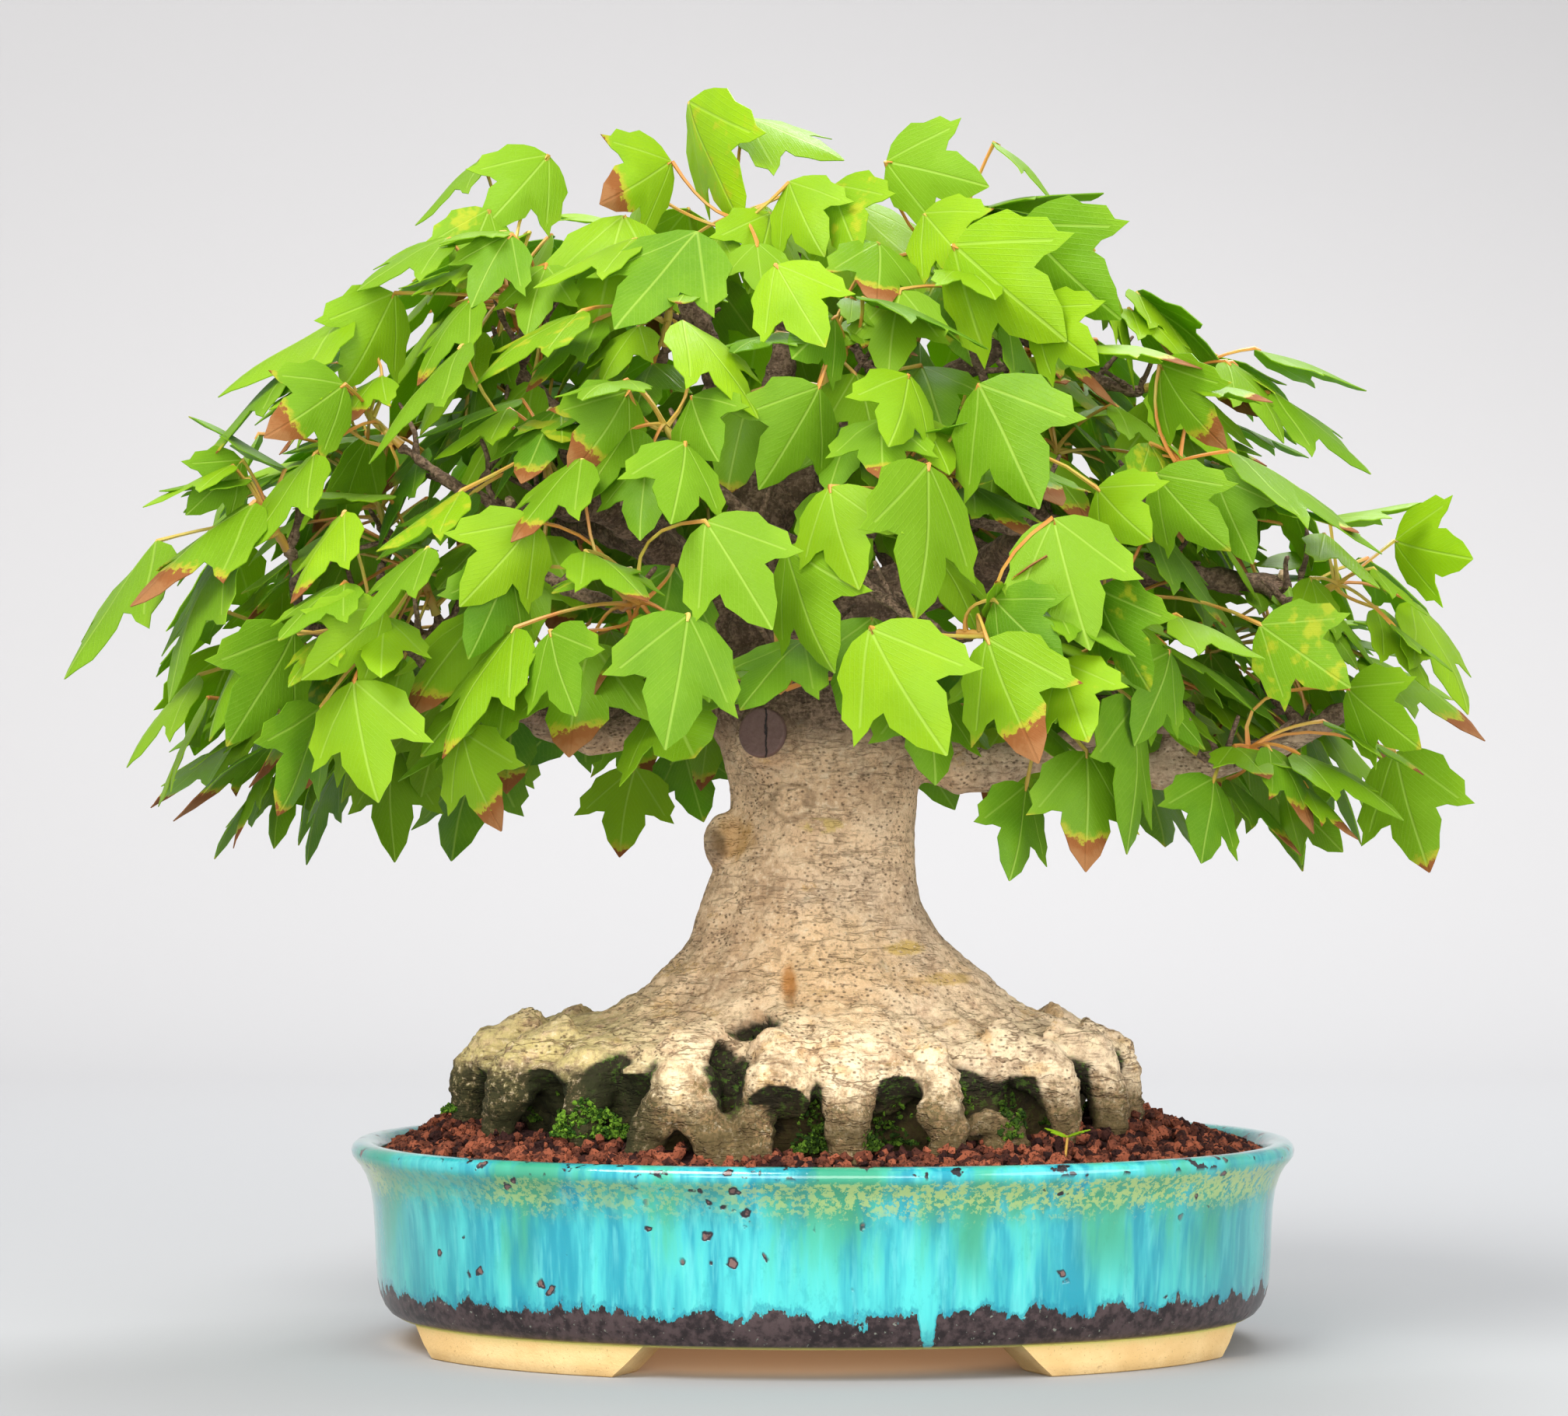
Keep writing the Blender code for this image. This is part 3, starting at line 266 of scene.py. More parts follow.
# %% [markdown]
# The trunk is a stack of oval sections and every branch a path of bends. Plain lists of millimetres are the
# shortest way to write down a shape that grew: each row was judged against the rows round it.

# %% Sizes of the wood
ROOT_GROOVE = 0.20  # depth of the grooves between the roots, as a share of the reach
# Trunk sections, mm: height, half length in X, half depth in Y, middle in X, depth of grooves between roots
TRUNK_SECTIONS = [
    (48.0, 72.0, 55.2, -8.0, ROOT_GROOVE),
    (57.0, 96.0, 73.6, -8.0, ROOT_GROOVE),
    (71.0, 103.0, 79.0, -8.0, ROOT_GROOVE),
    (78.0, 103.5, 79.4, -8.0, ROOT_GROOVE),
    (84.0, 101.5, 77.0, -8.0, 0.15),
    (89.0, 95.0, 70.0, -8.0, 0.10),
    (93.5, 80.0, 59.0, -6.0, 0.07),
    (97.5, 64.5, 49.0, -2.0, 0.06),
    (107.0, 50.5, 41.0, 0.0, 0.05),
    (118.5, 38.2, 34.0, -0.4, 0.03),
    (130.0, 32.8, 30.5, -2.2, 0.02),
    (142.0, 30.0, 28.5, -2.0, 0.01),
    (154.0, 27.7, 27.0, -0.5, 0.01),
    (165.0, 28.1, 27.0, 0.6, 0.0),
    (177.0, 30.4, 27.5, 0.4, 0.0),
    (189.0, 29.5, 26.0, -3.5, 0.0),
    (198.0, 22.0, 20.5, -11.0, 0.0),
    (205.0, 14.0, 14.0, -15.0, 0.0),
]
# Middles of the root toes round the base, degrees
ROOT_TOES = [194, 212, 229, 248, 268, 280, 294, 307, 323, 337, 355, 15, 38, 60, 82, 103, 124, 145, 170]
TOE_WIDTH = 6.5  # degrees
# Branches, mm: X, Y, Z, radius at each bend
LIMBS = {
    "left_low": [(-20, 0, 184, 9.0), (-33, -2, 187, 7.2), (-49, -5, 184, 5.6), (-66, -8, 179, 4.8),
                 (-82, -10, 183, 4.2), (-97, -12, 196, 3.6), (-125, -14, 206, 2.9), (-152, -14, 211, 2.2)],
    "right_low": [(18, 0, 178, 10.0), (33, -2, 173, 8.0), (48, -4, 169, 6.4), (66, -6, 174, 5.4),
                  (103, -8, 169, 4.8), (138, -8, 178, 3.6), (160, -6, 190, 2.4)],
    "right_stub": [(102, -8, 168, 4.2), (107, -9, 190, 3.6)],
    "upper_left": [(-18, 4, 195, 11.0), (-28, 8, 210, 9.0), (-48, 12, 236, 7.0), (-68, 15, 259, 5.6),
                   (-92, 18, 288, 3.6), (-112, 18, 300, 2.4)],
    "upper_right": [(-6, -2, 194, 11.0), (10, -4, 218, 8.6), (45, -6, 228, 6.6), (80, -6, 229, 5.0),
                    (108, -5, 227, 4.0), (140, 0, 224, 2.6)],
    "apex": [(-16, 3, 196, 12.0), (-19, 4, 220, 9.5), (-21, 6, 262, 6.6), (-36, 8, 300, 4.2),
             (-46, 8, 326, 2.6)],
    "apex_right": [(-21, 6, 258, 5.4), (-12, 4, 292, 4.0), (-8, 3, 328, 2.4)],
    "back": [(-4, 8, 190, 10.0), (4, 34, 206, 7.6), (12, 64, 216, 5.6), (20, 96, 214, 3.6),
             (26, 118, 208, 2.4)],
    "front": [(-10, -8, 196, 8.6), (-8, -34, 220, 6.4), (-2, -60, 230, 4.8), (6, -88, 226, 3.0),
              (8, -102, 222, 2.2)],
    "back_left": [(-46, 12, 234, 6.0), (-68, 46, 246, 4.8), (-88, 78, 245, 3.4), (-100, 98, 238, 2.3)],
    "back_right": [(18, -4, 222, 7.0), (46, 26, 233, 5.2), (74, 56, 235, 3.8), (98, 80, 229, 2.4)],
    "front_left": [(-46, 12, 234, 6.0), (-62, -20, 245, 4.6), (-80, -50, 244, 3.4), (-92, -76, 234, 2.3)],
    "front_right": [(45, -6, 228, 5.4), (62, -36, 238, 4.2), (75, -62, 236, 3.1), (84, -84, 226, 2.2)],
    "top_right": [(-20, 5, 240, 6.4), (6, 10, 266, 5.0), (35, 8, 286, 3.8), (60, 6, 300, 2.4)],
    "low_front_left": [(-66, -8, 179, 4.2), (-80, -36, 184, 3.4), (-98, -60, 188, 2.3)],
    "low_front_right": [(66, -6, 174, 4.6), (84, -36, 182, 3.5), (104, -62, 182, 2.3)],
    "low_back_left": [(-49, -5, 184, 4.8), (-76, 30, 191, 3.7), (-104, 58, 194, 2.4)],
    "low_back_right": [(48, -4, 169, 5.4), (76, 30, 183, 3.8), (108, 60, 187, 2.4)],
}
# Healed swellings on the trunk, mm: X, Y, Z, radius along X, Y and Z
BURLS = [(-29, -6, 148, 6.5, 7.5, 9.0), (-24, -5, 186, 9.0, 9.5, 8.0), (25, -5, 175, 10.0, 10.0, 8.5)]
CUT_PLACE = (-17.5, -27.0, 180.0)  # mm, the middle of the sealed pruning cut
CUT_RADIUS = 0.0075
CUT_VIEW = 0.130  # length in front of the cut that the leaves leave free
PASTE_THICKNESS = 0.0016
print("branches", len(LIMBS))

# %% [markdown]
# The crown is a low dome. The leaves that face the front are placed one by one, as seen from a point in front
# of the tree, because they give the tree its face; rules spread the rest over the back, top and inside.

# %% Sizes of the crown and the leaves that face the front
CROWN_MIDDLE = (-13.0, 0.0, 205.0)  # mm
CROWN_REACH = (205.0, 152.0, 158.0)  # mm, along X, along Y and up
CROWN_SKIRT = 66.0  # mm, down
EYE = (-11.5, -1250.0, 158.0)  # mm, where the front leaves' places are judged from
SHOOTS = 48
STEM_LENGTH = 0.0135
STEM_PARTS = 3
STEM_RADIUS = 0.0012
STALK_RADIUS = 0.0006
STALK_ROOT = 0.0015  # length over which a stalk narrows from the stem
TWIG_START = 0.0024
TWIG_END = 0.0016
TWIG_LEAST = 0.012  # length of the shortest twig
LEAF_THICKNESS = 0.0012
LEAF_CLEARANCE = 0.0008
# Leaves spread over the rest of the crown: group, count, first azimuth and sweep in degrees, lowest and
# highest share of the crown's height, share of the crown's reach
LEAF_GROUPS = [
    ("back", 92, -8, 196, -0.62, 0.97, 0.88),
    ("top", 26, 0, 360, 0.78, 0.99, 0.90),
    ("inner", 84, 0, 360, -0.45, 0.86, 0.66),
]
# Leaf outline: place of the midrib point and of the side point along the leaf, and half width, as shares
LEAF_OUTLINE = [(0.10, 0.14, 0.36), (0.30, 0.58, 0.50), (0.46, 0.50, 0.21), (0.985, 1.0, 0.012)]
# Front leaves, mm as seen from EYE: stalk end X and Z, tip X and Z, visible width
FRONT_LEAVES = [
    (-42, 304, -17, 283, 21), (-2, 285, -14, 257, 26), (47, 285, 62, 251, 33), (32, 261, 32, 220, 28),
    (-35, 244, -17, 216, 35), (69, 245, 76, 210, 42), (-40, 216, -45, 181, 34), (14, 212, 30, 178, 36),
    (-11, 236, -4, 202, 21), (-58, 283, -70, 258, 22), (-37, 287, -31, 271, 26), (-40, 267, -41, 246, 27),
    (-14, 321, -3, 299, 31), (3, 256, 7, 228, 28), (26, 288, 24, 269, 23), (6, 304, 0, 288, 21),
    (12, 311, 48, 305, 10), (39, 327, 67, 300, 33), (59, 333, 82, 306, 28), (19, 352, 45, 345, 28),
    (-23, 365, 4, 356, 26), (-40, 370, -31, 333, 12), (-82, 354, -96, 334, 28), (-102, 353, -122, 336, 12),
    (-112, 329, -137, 318, 19), (-96, 336, -103, 314, 26), (-56, 329, -84, 318, 16),
    (-143, 306, -178, 286, 21), (-158, 291, -188, 268, 12), (-143, 285, -157, 270, 21),
    (-129, 312, -139, 284, 21), (-72, 307, -103, 294, 19), (-108, 297, -136, 267, 16),
    (-105, 311, -122, 290, 17), (-170, 250, -204, 226, 26), (-199, 238, -225, 203, 23),
    (-178, 236, -200, 199, 19), (-179, 254, -194, 242, 18), (-152, 264, -171, 238, 19),
    (-171, 208, -185, 183, 16), (-158, 211, -171, 179, 20), (-140, 196, -137, 165, 33),
    (-108, 181, -101, 155, 21), (-150, 188, -156, 158, 10), (-131, 218, -147, 198, 20),
    (-92, 212, -116, 183, 21), (-96, 230, -105, 205, 24), (-71, 235, -51, 226, 17),
    (-86, 244, -103, 220, 26), (-76, 261, -99, 238, 19), (-82, 211, -76, 188, 21), (-72, 224, -58, 206, 19),
    (-108, 253, -131, 238, 14), (-143, 247, -159, 224, 17), (-118, 236, -138, 216, 16),
    (49, 209, 59, 175, 28), (71, 202, 75, 181, 23), (79, 175, 79, 144, 30), (61, 165, 58, 140, 19),
    (92, 188, 89, 145, 16), (117, 167, 113, 146, 23), (131, 213, 153, 195, 26), (171, 238, 184, 231, 16),
    (176, 220, 195, 193, 21), (167, 219, 183, 198, 17), (141, 175, 171, 163, 16), (171, 175, 176, 143, 28),
    (138, 165, 148, 148, 14), (122, 265, 169, 243, 21), (117, 263, 129, 237, 26), (82, 254, 92, 238, 21),
    (100, 258, 113, 236, 20), (80, 297, 110, 297, 8), (101, 291, 112, 266, 14), (63, 308, 76, 290, 18),
    (139, 250, 157, 243, 12), (150, 240, 165, 228, 14), (50, 222, 62, 203, 22), (106, 216, 129, 206, 14),
    (82, 225, 90, 196, 16), (157, 194, 171, 177, 14), (104, 205, 98, 180, 20), (-45, 352, -60, 338, 20),
    (3, 345, 8, 325, 24), (30, 336, 40, 318, 24), (-10, 345, -5, 325, 22),
]
# Moss at the foot of the roots: first and last flat round the trunk, height up the wall, depth on the soil
MOSS = {
    "moss_left": (23, 26, 0.0050, 0.0050),
    "moss_front_left": (30, 32, 0.0100, 0.0040),
    "moss_front": (36, 38, 0.0090, 0.0035),
    "moss_front_right": (40, 42, 0.0075, 0.0035),
    "moss_back": (10, 13, 0.0070, 0.0050),
}
SEEDLING_FLAT = 41  # flat round the trunk
SEEDLING_SHARE = 0.5  # of the way from the roots to the rim
SEEDLING_HEIGHT = 0.006
print("front leaves", len(FRONT_LEAVES))

# %% [markdown]
# A pot like this is squarer than an ellipse, so its outline is a superellipse. The roots, the soil and the
# moss all follow the trunk's outline at their own height, which one function gives to all of them.

# %% Outlines of the pot, the roots and the soil


def oval_point(angle, inset, height):
    """A point of the pot's oval, moved in by inset."""
    cosine, sine = math.cos(angle), math.sin(angle)
    power = 2.0 / OVAL_POWER
    x = math.copysign(abs(cosine) ** power, cosine) * (POT_LENGTH / 2 - inset)
    y = math.copysign(abs(sine) ** power, sine) * (POT_DEPTH / 2 - inset)
    return Vector((x, y, height))


def inner_inset(height):
    """How far the pot's inner wall lies inside the rim's oval."""
    floor_top = FOOT_HEIGHT + FLOOR
    heights = [floor_top, floor_top + 0.005, POT_HEIGHT - 0.010, POT_HEIGHT - 0.002]
    insets = [WALL + 0.0085, WALL + 0.0035, WALL + 0.0020, WALL]
    return float(np.interp(height, heights, insets))


def toe_wave(angle):
    """1 along a root, 0 midway between two."""
    degrees = math.degrees(angle)
    offsets = [abs((degrees - toe + 180) % 360 - 180) for toe in ROOT_TOES]
    return math.exp(-((min(offsets) / TOE_WIDTH) ** 2))


def trunk_section(height):
    """The trunk's measures at a height, read straight between the listed sections."""
    columns = np.array(TRUNK_SECTIONS).T
    return [float(np.interp(height / MM, columns[0], column)) for column in columns[1:]]


def trunk_point(angle, height, away=0.0):
    half_x, half_y, middle, groove = trunk_section(height)
    share = 1 - groove * (1 - toe_wave(angle))
    flat = Vector((half_x * math.cos(angle), half_y * math.sin(angle))) * share * MM
    flat += flat.normalized() * away
    return Vector((flat.x + middle * MM, flat.y, height))


def trunk_ring(height, away=0.0):
    return [trunk_point(math.tau * i / SEGMENTS, height, away) for i in range(SEGMENTS)]


def across_to(forward, hint):
    """The unit vector nearest hint that is square to forward."""
    side = hint - forward * hint.dot(forward)
    if side.length < 1e-4:
        side = forward.orthogonal()
    return side.normalized()


def section(middle, forward, normal, half_width, half_height):
    side = forward.cross(normal)
    return [middle + normal * half_height, middle + side * half_width,
            middle - normal * half_height, middle - side * half_width]


def soil_at_roots(angle):
    """Height of the soil where it meets the roots: mounded at the ends, lower in front."""
    return (SOIL_AT_ROOTS + SOIL_SIDE_RISE * abs(math.cos(angle))
            - SOIL_FRONT_DROP * max(0.0, -math.sin(angle)))


def soil_point(i, share):
    """The soil's surface from the roots, at share 0, to the pot's wall, at share 1."""
    angle = math.tau * i / SEGMENTS
    near = trunk_point(angle, soil_at_roots(angle), POCKET_GAP)
    rim_height = POT_HEIGHT - SOIL_BELOW_RIM
    far = oval_point(angle, inner_inset(rim_height) + GAP, rim_height)
    return near.lerp(far, share)


# %% [markdown]
# A twig may start anywhere along a branch past the trunk. The crown's surface decides how far in front of the
# middle a leaf hangs, so a place seen from the front becomes a place in depth.

# %% Branch paths and the crown's surface
def limb_paths():
    return [[(Vector(bend[:3]) * MM, bend[3] * MM) for bend in bends] for bends in LIMBS.values()]


def limb_spots():
    """Places along the branches where a twig may start, past the first stretch in the trunk."""
    spots = []
    for path in limb_paths():
        for (a, ra), (b, rb) in list(zip(path, path[1:]))[1:] or [(path[0], path[1])]:
            for step in range(4):
                share = step / 4
                spots.append((a.lerp(b, share), ra + (rb - ra) * share))
        spots.append(path[-1])
    return spots


def crown_depth(x, z):
    """How far in front of the middle the crown's surface lies, in mm, at a place seen from the front."""
    up = CROWN_REACH[2] if z > CROWN_MIDDLE[2] else CROWN_SKIRT
    off = ((x - CROWN_MIDDLE[0]) / CROWN_REACH[0]) ** 2 + ((z - CROWN_MIDDLE[2]) / up) ** 2
    return -CROWN_REACH[1] * math.sqrt(max(0.05, 1 - off))


def seen_from_eye(x, z, y):
    """The real place, in metres, of a point at depth y that is seen at x, z on the plane y = 0."""
    share = (y - EYE[1]) / -EYE[1]
    return Vector((EYE[0] + (x - EYE[0]) * share, y, EYE[2] + (z - EYE[2]) * share)) * MM


# %% [markdown]
# Each leaf is a stalk end, a direction, a normal, a length and a width. Turning by the golden ratio keeps the
# leaves of a group evenly spread, and small random turns keep them from looking combed.

# %% Where the leaves hang
def front_leaf(index, leaf):
    """Stalk end, direction, normal, length and width of a leaf given as seen from the front."""
    base_x, base_z, tip_x, tip_z, seen_width = leaf
    chance = random.Random(f"front {index}")
    inward = 0.0 if seen_width > 26 else chance.uniform(2, 20)
    depth = crown_depth(base_x, base_z) * 0.9 + inward
    base = seen_from_eye(base_x, base_z, depth)
    tip = seen_from_eye(tip_x, tip_z, depth)
    seen = tip - base
    length = min(0.046, max(0.027, seen.length * 1.08))
    lean = math.sqrt(max(0.02, (length / max(seen.length, 0.008)) ** 2 - 1)) * seen.length
    forward = (seen + Vector((0, -lean, 0))).normalized()
    width = length * chance.uniform(0.95, 1.10)
    roll = math.acos(min(0.97, max(0.25, seen_width * MM * 0.9 / width)))
    face = across_to(forward, Vector((0, -1, 0.35)))
    upward = 1.0 if forward.x > 0 else -1.0
    face = Matrix.Rotation(upward * roll * 0.9, 3, forward) @ face
    if face.z < -0.1:
        face = Matrix.Rotation(-1.8 * upward * roll, 3, forward) @ face
    return base, forward, face.normalized(), length, width


def dome_leaf(kind, index, count, start, sweep, lowest, highest, reach):
    """A leaf spread evenly over a stretch of the crown, tip out and down."""
    chance = random.Random(f"{kind} {index}")
    turn = (index * 0.618034) % 1
    azimuth = math.radians(start + sweep * turn + chance.uniform(-4, 4))
    rise = math.asin(lowest + (highest - lowest) * (index + 0.5) / count)
    out = Vector((math.cos(azimuth) * math.cos(rise), math.sin(azimuth) * math.cos(rise), math.sin(rise)))
    up = CROWN_REACH[2] if out.z > 0 else CROWN_SKIRT
    spread = Vector((out.x * CROWN_REACH[0], out.y * CROWN_REACH[1], out.z * up)) * MM
    base = Vector(CROWN_MIDDLE) * MM + spread * reach * chance.uniform(0.93, 1.0)
    level = Vector((out.x, out.y, 0)).normalized()
    swing = Matrix.Rotation(chance.uniform(-0.6, 0.6), 3, "Z")
    forward = (swing @ level + Vector((0, 0, -chance.uniform(0.35, 1.5)))).normalized()
    face = across_to(forward, level * 0.5 + Vector((0, 0, 1)))
    face = Matrix.Rotation(chance.uniform(-0.45, 0.45), 3, forward) @ face
    length = chance.uniform(0.028, 0.040)
    return base, forward, face, length, length * chance.uniform(0.92, 1.08)


def planned_leaves():
    leaves = [front_leaf(i, leaf) for i, leaf in enumerate(FRONT_LEAVES)]
    for kind, count, *spread in LEAF_GROUPS:
        leaves += [dome_leaf(kind, i, count, *spread) for i in range(count)]
    return leaves


def gather(points, count):
    """Groups points, none more than a stem carries: the groups' centres and each point's group."""
    places = np.array([list(p) for p in points])
    centres = [places[0]]
    while len(centres) < count:
        distances = np.min([np.sum((places - c) ** 2, axis=1) for c in centres], axis=0)
        centres.append(places[int(np.argmax(distances))])
    centres = np.array(centres)
    for _ in range(14):
        group = np.argmin(((places[:, None] - centres[None]) ** 2).sum(axis=2), axis=1)
        centres = np.array([places[group == k].mean(axis=0) if (group == k).any() else centres[k]
                            for k in range(count)])
    gaps = ((places[:, None] - centres[None]) ** 2).sum(axis=2)
    room = [4 * STEM_PARTS] * count
    group = np.zeros(len(places), dtype=int)
    for point in np.argsort(gaps.min(axis=1), kind="stable"):
        group[point] = next(k for k in np.argsort(gaps[point], kind="stable") if room[k] > 0)
        room[group[point]] -= 1
    return [Vector(c) for c in centres], group


# %% [markdown]
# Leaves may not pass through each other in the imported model. Every solid is a chain of four-cornered
# sections, which is quick to build, and a search tree tells whether a new one touches those already there.

# %% Plain shapes of leaves and stems
class Obstacles:
    """Solids already placed, for finding out whether a new one would touch them."""

    def __init__(self):
        self.low, self.high, self.trees = [], [], []

    def add(self, shape):
        verts, _ = shape
        points = np.array([list(v) for v in verts])
        self.low.append(points.min(axis=0))
        self.high.append(points.max(axis=0))
        self.trees.append(BVHTree.FromPolygons(*shape))

    def touches(self, shape):
        verts, _ = shape
        points = np.array([list(v) for v in verts])
        low, high = points.min(axis=0), points.max(axis=0)
        near = np.all((np.array(self.low) < high) & (np.array(self.high) > low), axis=1).nonzero()[0]
        if not len(near):
            return False
        tree = BVHTree.FromPolygons(*shape)
        return any(self.trees[k].overlap(tree) for k in near)


def skin_of(sections):
    """Vertices and faces of a chain of four-cornered sections, with its two ends."""
    verts = [corner for one in sections for corner in one]
    faces = []
    for k in range(len(sections) - 1):
        for i in range(4):
            j = (i + 1) % 4
            faces.append((4 * k + i, 4 * k + j, 4 * k + 4 + j, 4 * k + 4 + i))
    last = 4 * (len(sections) - 1)
    return verts, faces + [(3, 2, 1, 0), (last, last + 1, last + 2, last + 3)]


def path_sections(path, extra=0.0):
    """Square sections along a path of points and radii."""
    sections = []
    for k, (point, radius) in enumerate(path):
        before, after = path[max(0, k - 1)][0], path[min(len(path) - 1, k + 1)][0]
        forward = (after - before).normalized()
        reach = (radius + extra) * 1.1
        sections.append(section(point, forward, across_to(forward, Vector((0.1, 0.2, 1))), reach, reach))
    return sections


def blade_sections(base, forward, face, length, width, extra=0.0):
    """Sections of a leaf blade: a folded three-lobed plate that bends down towards its tip."""
    side = forward.cross(face)
    sections = []
    for mid_share, side_share, half in LEAF_OUTLINE:
        def place(share, out):
            drop = 0.14 * share * share * length + 0.16 * abs(out)
            return base + forward * share * length + side * out - face * drop
        out = half * width + extra
        middle = place(mid_share, 0.0)
        rise = face * (LEAF_THICKNESS / 2 + extra)
        if half < 0.1:
            rise = face * (0.0003 + extra)
        sections.append([middle + rise, place(side_share, out), middle - rise, place(side_share, -out)])
    return sections


def arch(start, bend, end, t):
    """Place and direction on a curve that leaves start towards bend and arrives at end."""
    place = start * (1 - t) ** 2 + bend * 2 * t * (1 - t) + end * t * t
    return place, ((bend - start) * (1 - t) + (end - bend) * t).normalized()


def stalk_sections(start, outward, base, forward, face, extra, first):
    """Sections of an arched leaf stalk from the stem to the blade."""
    reach = (base - start).length
    bend = start + outward * reach * 0.40 + Vector((0, 0, reach * 0.22))
    sections = []
    for t in (first, 1.0):
        point, tangent = arch(start, bend, base, t)
        tangent = tangent.lerp(forward, 0.5 * t).normalized()
        radius = STALK_RADIUS + extra
        sections.append(section(point, tangent, across_to(tangent, face), radius, radius))
    return sections


def stem_corner_rings(shoot):
    """Square rings up the stem; leaves grow from the flats between them."""
    base, forward, right, front = shoot["base"], shoot["forward"], shoot["right"], shoot["front"]
    rings = []
    for k in range(STEM_PARTS + 1):
        middle = base + forward * (GAP + STEM_LENGTH * k / STEM_PARTS)
        half = STEM_RADIUS * (1 - 0.12 * k)
        rings.append([middle + (right + front) * half, middle + (front - right) * half,
                      middle - (right + front) * half, middle + (right - front) * half])
    return rings


def stem_flats(shoot):
    """Middle and outward direction of each flat on the stem."""
    rings = stem_corner_rings(shoot)
    flats = []
    for low, high in zip(rings, rings[1:]):
        for i in range(4):
            j = (i + 1) % 4
            middle = (low[i] + low[j] + high[i] + high[j]) / 4
            outward = across_to(shoot["forward"], (low[i] + low[j]) / 2 - sum(low, Vector()) / 4)
            flats.append((middle, outward))
    return flats


# %% [markdown]
# Neighbouring leaves share a shoot, and a twig carries each shoot from the nearest branch. A leaf that would
# touch something turns, moves or shrinks a little at a time until it is free.

# %% Shoots and their leaves
def plan_shoots(leaves):
    """Where each shoot stands, and the twig that carries it."""
    centres, group = gather([leaf[0] for leaf in leaves], SHOOTS)
    spots = limb_spots()
    heart = Vector((CROWN_MIDDLE[0], CROWN_MIDDLE[1], CROWN_MIDDLE[2] - 10)) * MM
    shoots = []
    for k, centre in enumerate(centres):
        inward = (heart - centre).normalized()
        base = centre + inward * 0.020 - Vector((0, 0, 0.004))
        root, radius = min(spots, key=lambda s: (s[0] - base).length + 0.4 * max(0.0, s[0].z - base.z))
        while min((spot[0] - base).length for spot in spots) < TWIG_LEAST:
            base += Vector((0, 0, 0.2 * TWIG_LEAST))
        ahead = (base - root).normalized()
        forward = (ahead * 1.5 + (centre - base).normalized() + Vector((0, 0, 0.4))).normalized()
        right = across_to(forward, Vector((1, 0, 0.3)))
        start_radius = min(radius * 0.8, TWIG_START)
        middle = root.lerp(base, 0.5) - Vector((0, 0, 0.08)) * (base - root).length
        twig = [(root, start_radius), (middle, (start_radius + TWIG_END) / 2),
                (base - forward * 0.004, TWIG_END), (base, TWIG_END)]
        shoots.append({"base": base, "forward": forward, "right": right, "front": forward.cross(right),
                       "twig": twig, "members": [int(i) for i in np.nonzero(group == k)[0]], "leaves": []})
    return shoots


def wood_obstacles():
    """The trunk and branches as plain shapes that leaves keep clear of."""
    solids = Obstacles()
    heights = [row[0] * MM for row in TRUNK_SECTIONS]
    verts = [point for height in heights for point in trunk_ring(height)]
    faces = []
    for k in range(len(heights) - 1):
        for i in range(SEGMENTS):
            j = (i + 1) % SEGMENTS
            a, b = k * SEGMENTS, (k + 1) * SEGMENTS
            faces.append((a + i, a + j, b + j, b + i))
    solids.add((verts, faces))
    for path in limb_paths():
        solids.add(skin_of(path_sections(path)))
    cut = Vector(CUT_PLACE) * MM
    view = (Vector(EYE) * MM - cut).normalized()
    solids.add(skin_of(path_sections([(cut, CUT_RADIUS), (cut + view * CUT_VIEW, CUT_RADIUS)])))
    return solids


def clear_stems(shoots, solids):
    """Moves a stem a little where it would touch a twig or another stem."""
    for shoot in shoots:
        path = [(point, radius) for point, radius in shoot["twig"]]
        solids.add(skin_of(path_sections(path)))
    for k, shoot in enumerate(shoots):
        chance = random.Random(f"stem {k}")
        turned = shoot["forward"]
        for attempt in range(60):
            tip = shoot["base"] + turned * (STEM_LENGTH + 0.001)
            start = shoot["base"] + turned * 0.0035
            path = [(start, STEM_RADIUS + LEAF_CLEARANCE), (tip, STEM_RADIUS + LEAF_CLEARANCE)]
            if not solids.touches(skin_of(path_sections(path))):
                break
            drift = random_vector(chance)
            turned = (shoot["forward"] + drift * 0.02 * attempt).normalized()
        else:
            print("stem not clear", k)
        shoot["forward"] = turned
        shoot["right"] = across_to(turned, shoot["right"])
        shoot["front"] = turned.cross(shoot["right"])
        tip = shoot["base"] + turned * STEM_LENGTH
        solids.add(skin_of(path_sections([(shoot["base"] + turned * GAP, STEM_RADIUS), (tip, STEM_RADIUS)])))


def pick_flat(flats, used, base):
    """The free flat of the stem that faces the leaf best."""
    free = [k for k in range(len(flats)) if k not in used]
    return max(free, key=lambda k: flats[k][1].dot((base - flats[k][0]).normalized()) + 0.04 * (k // 4))


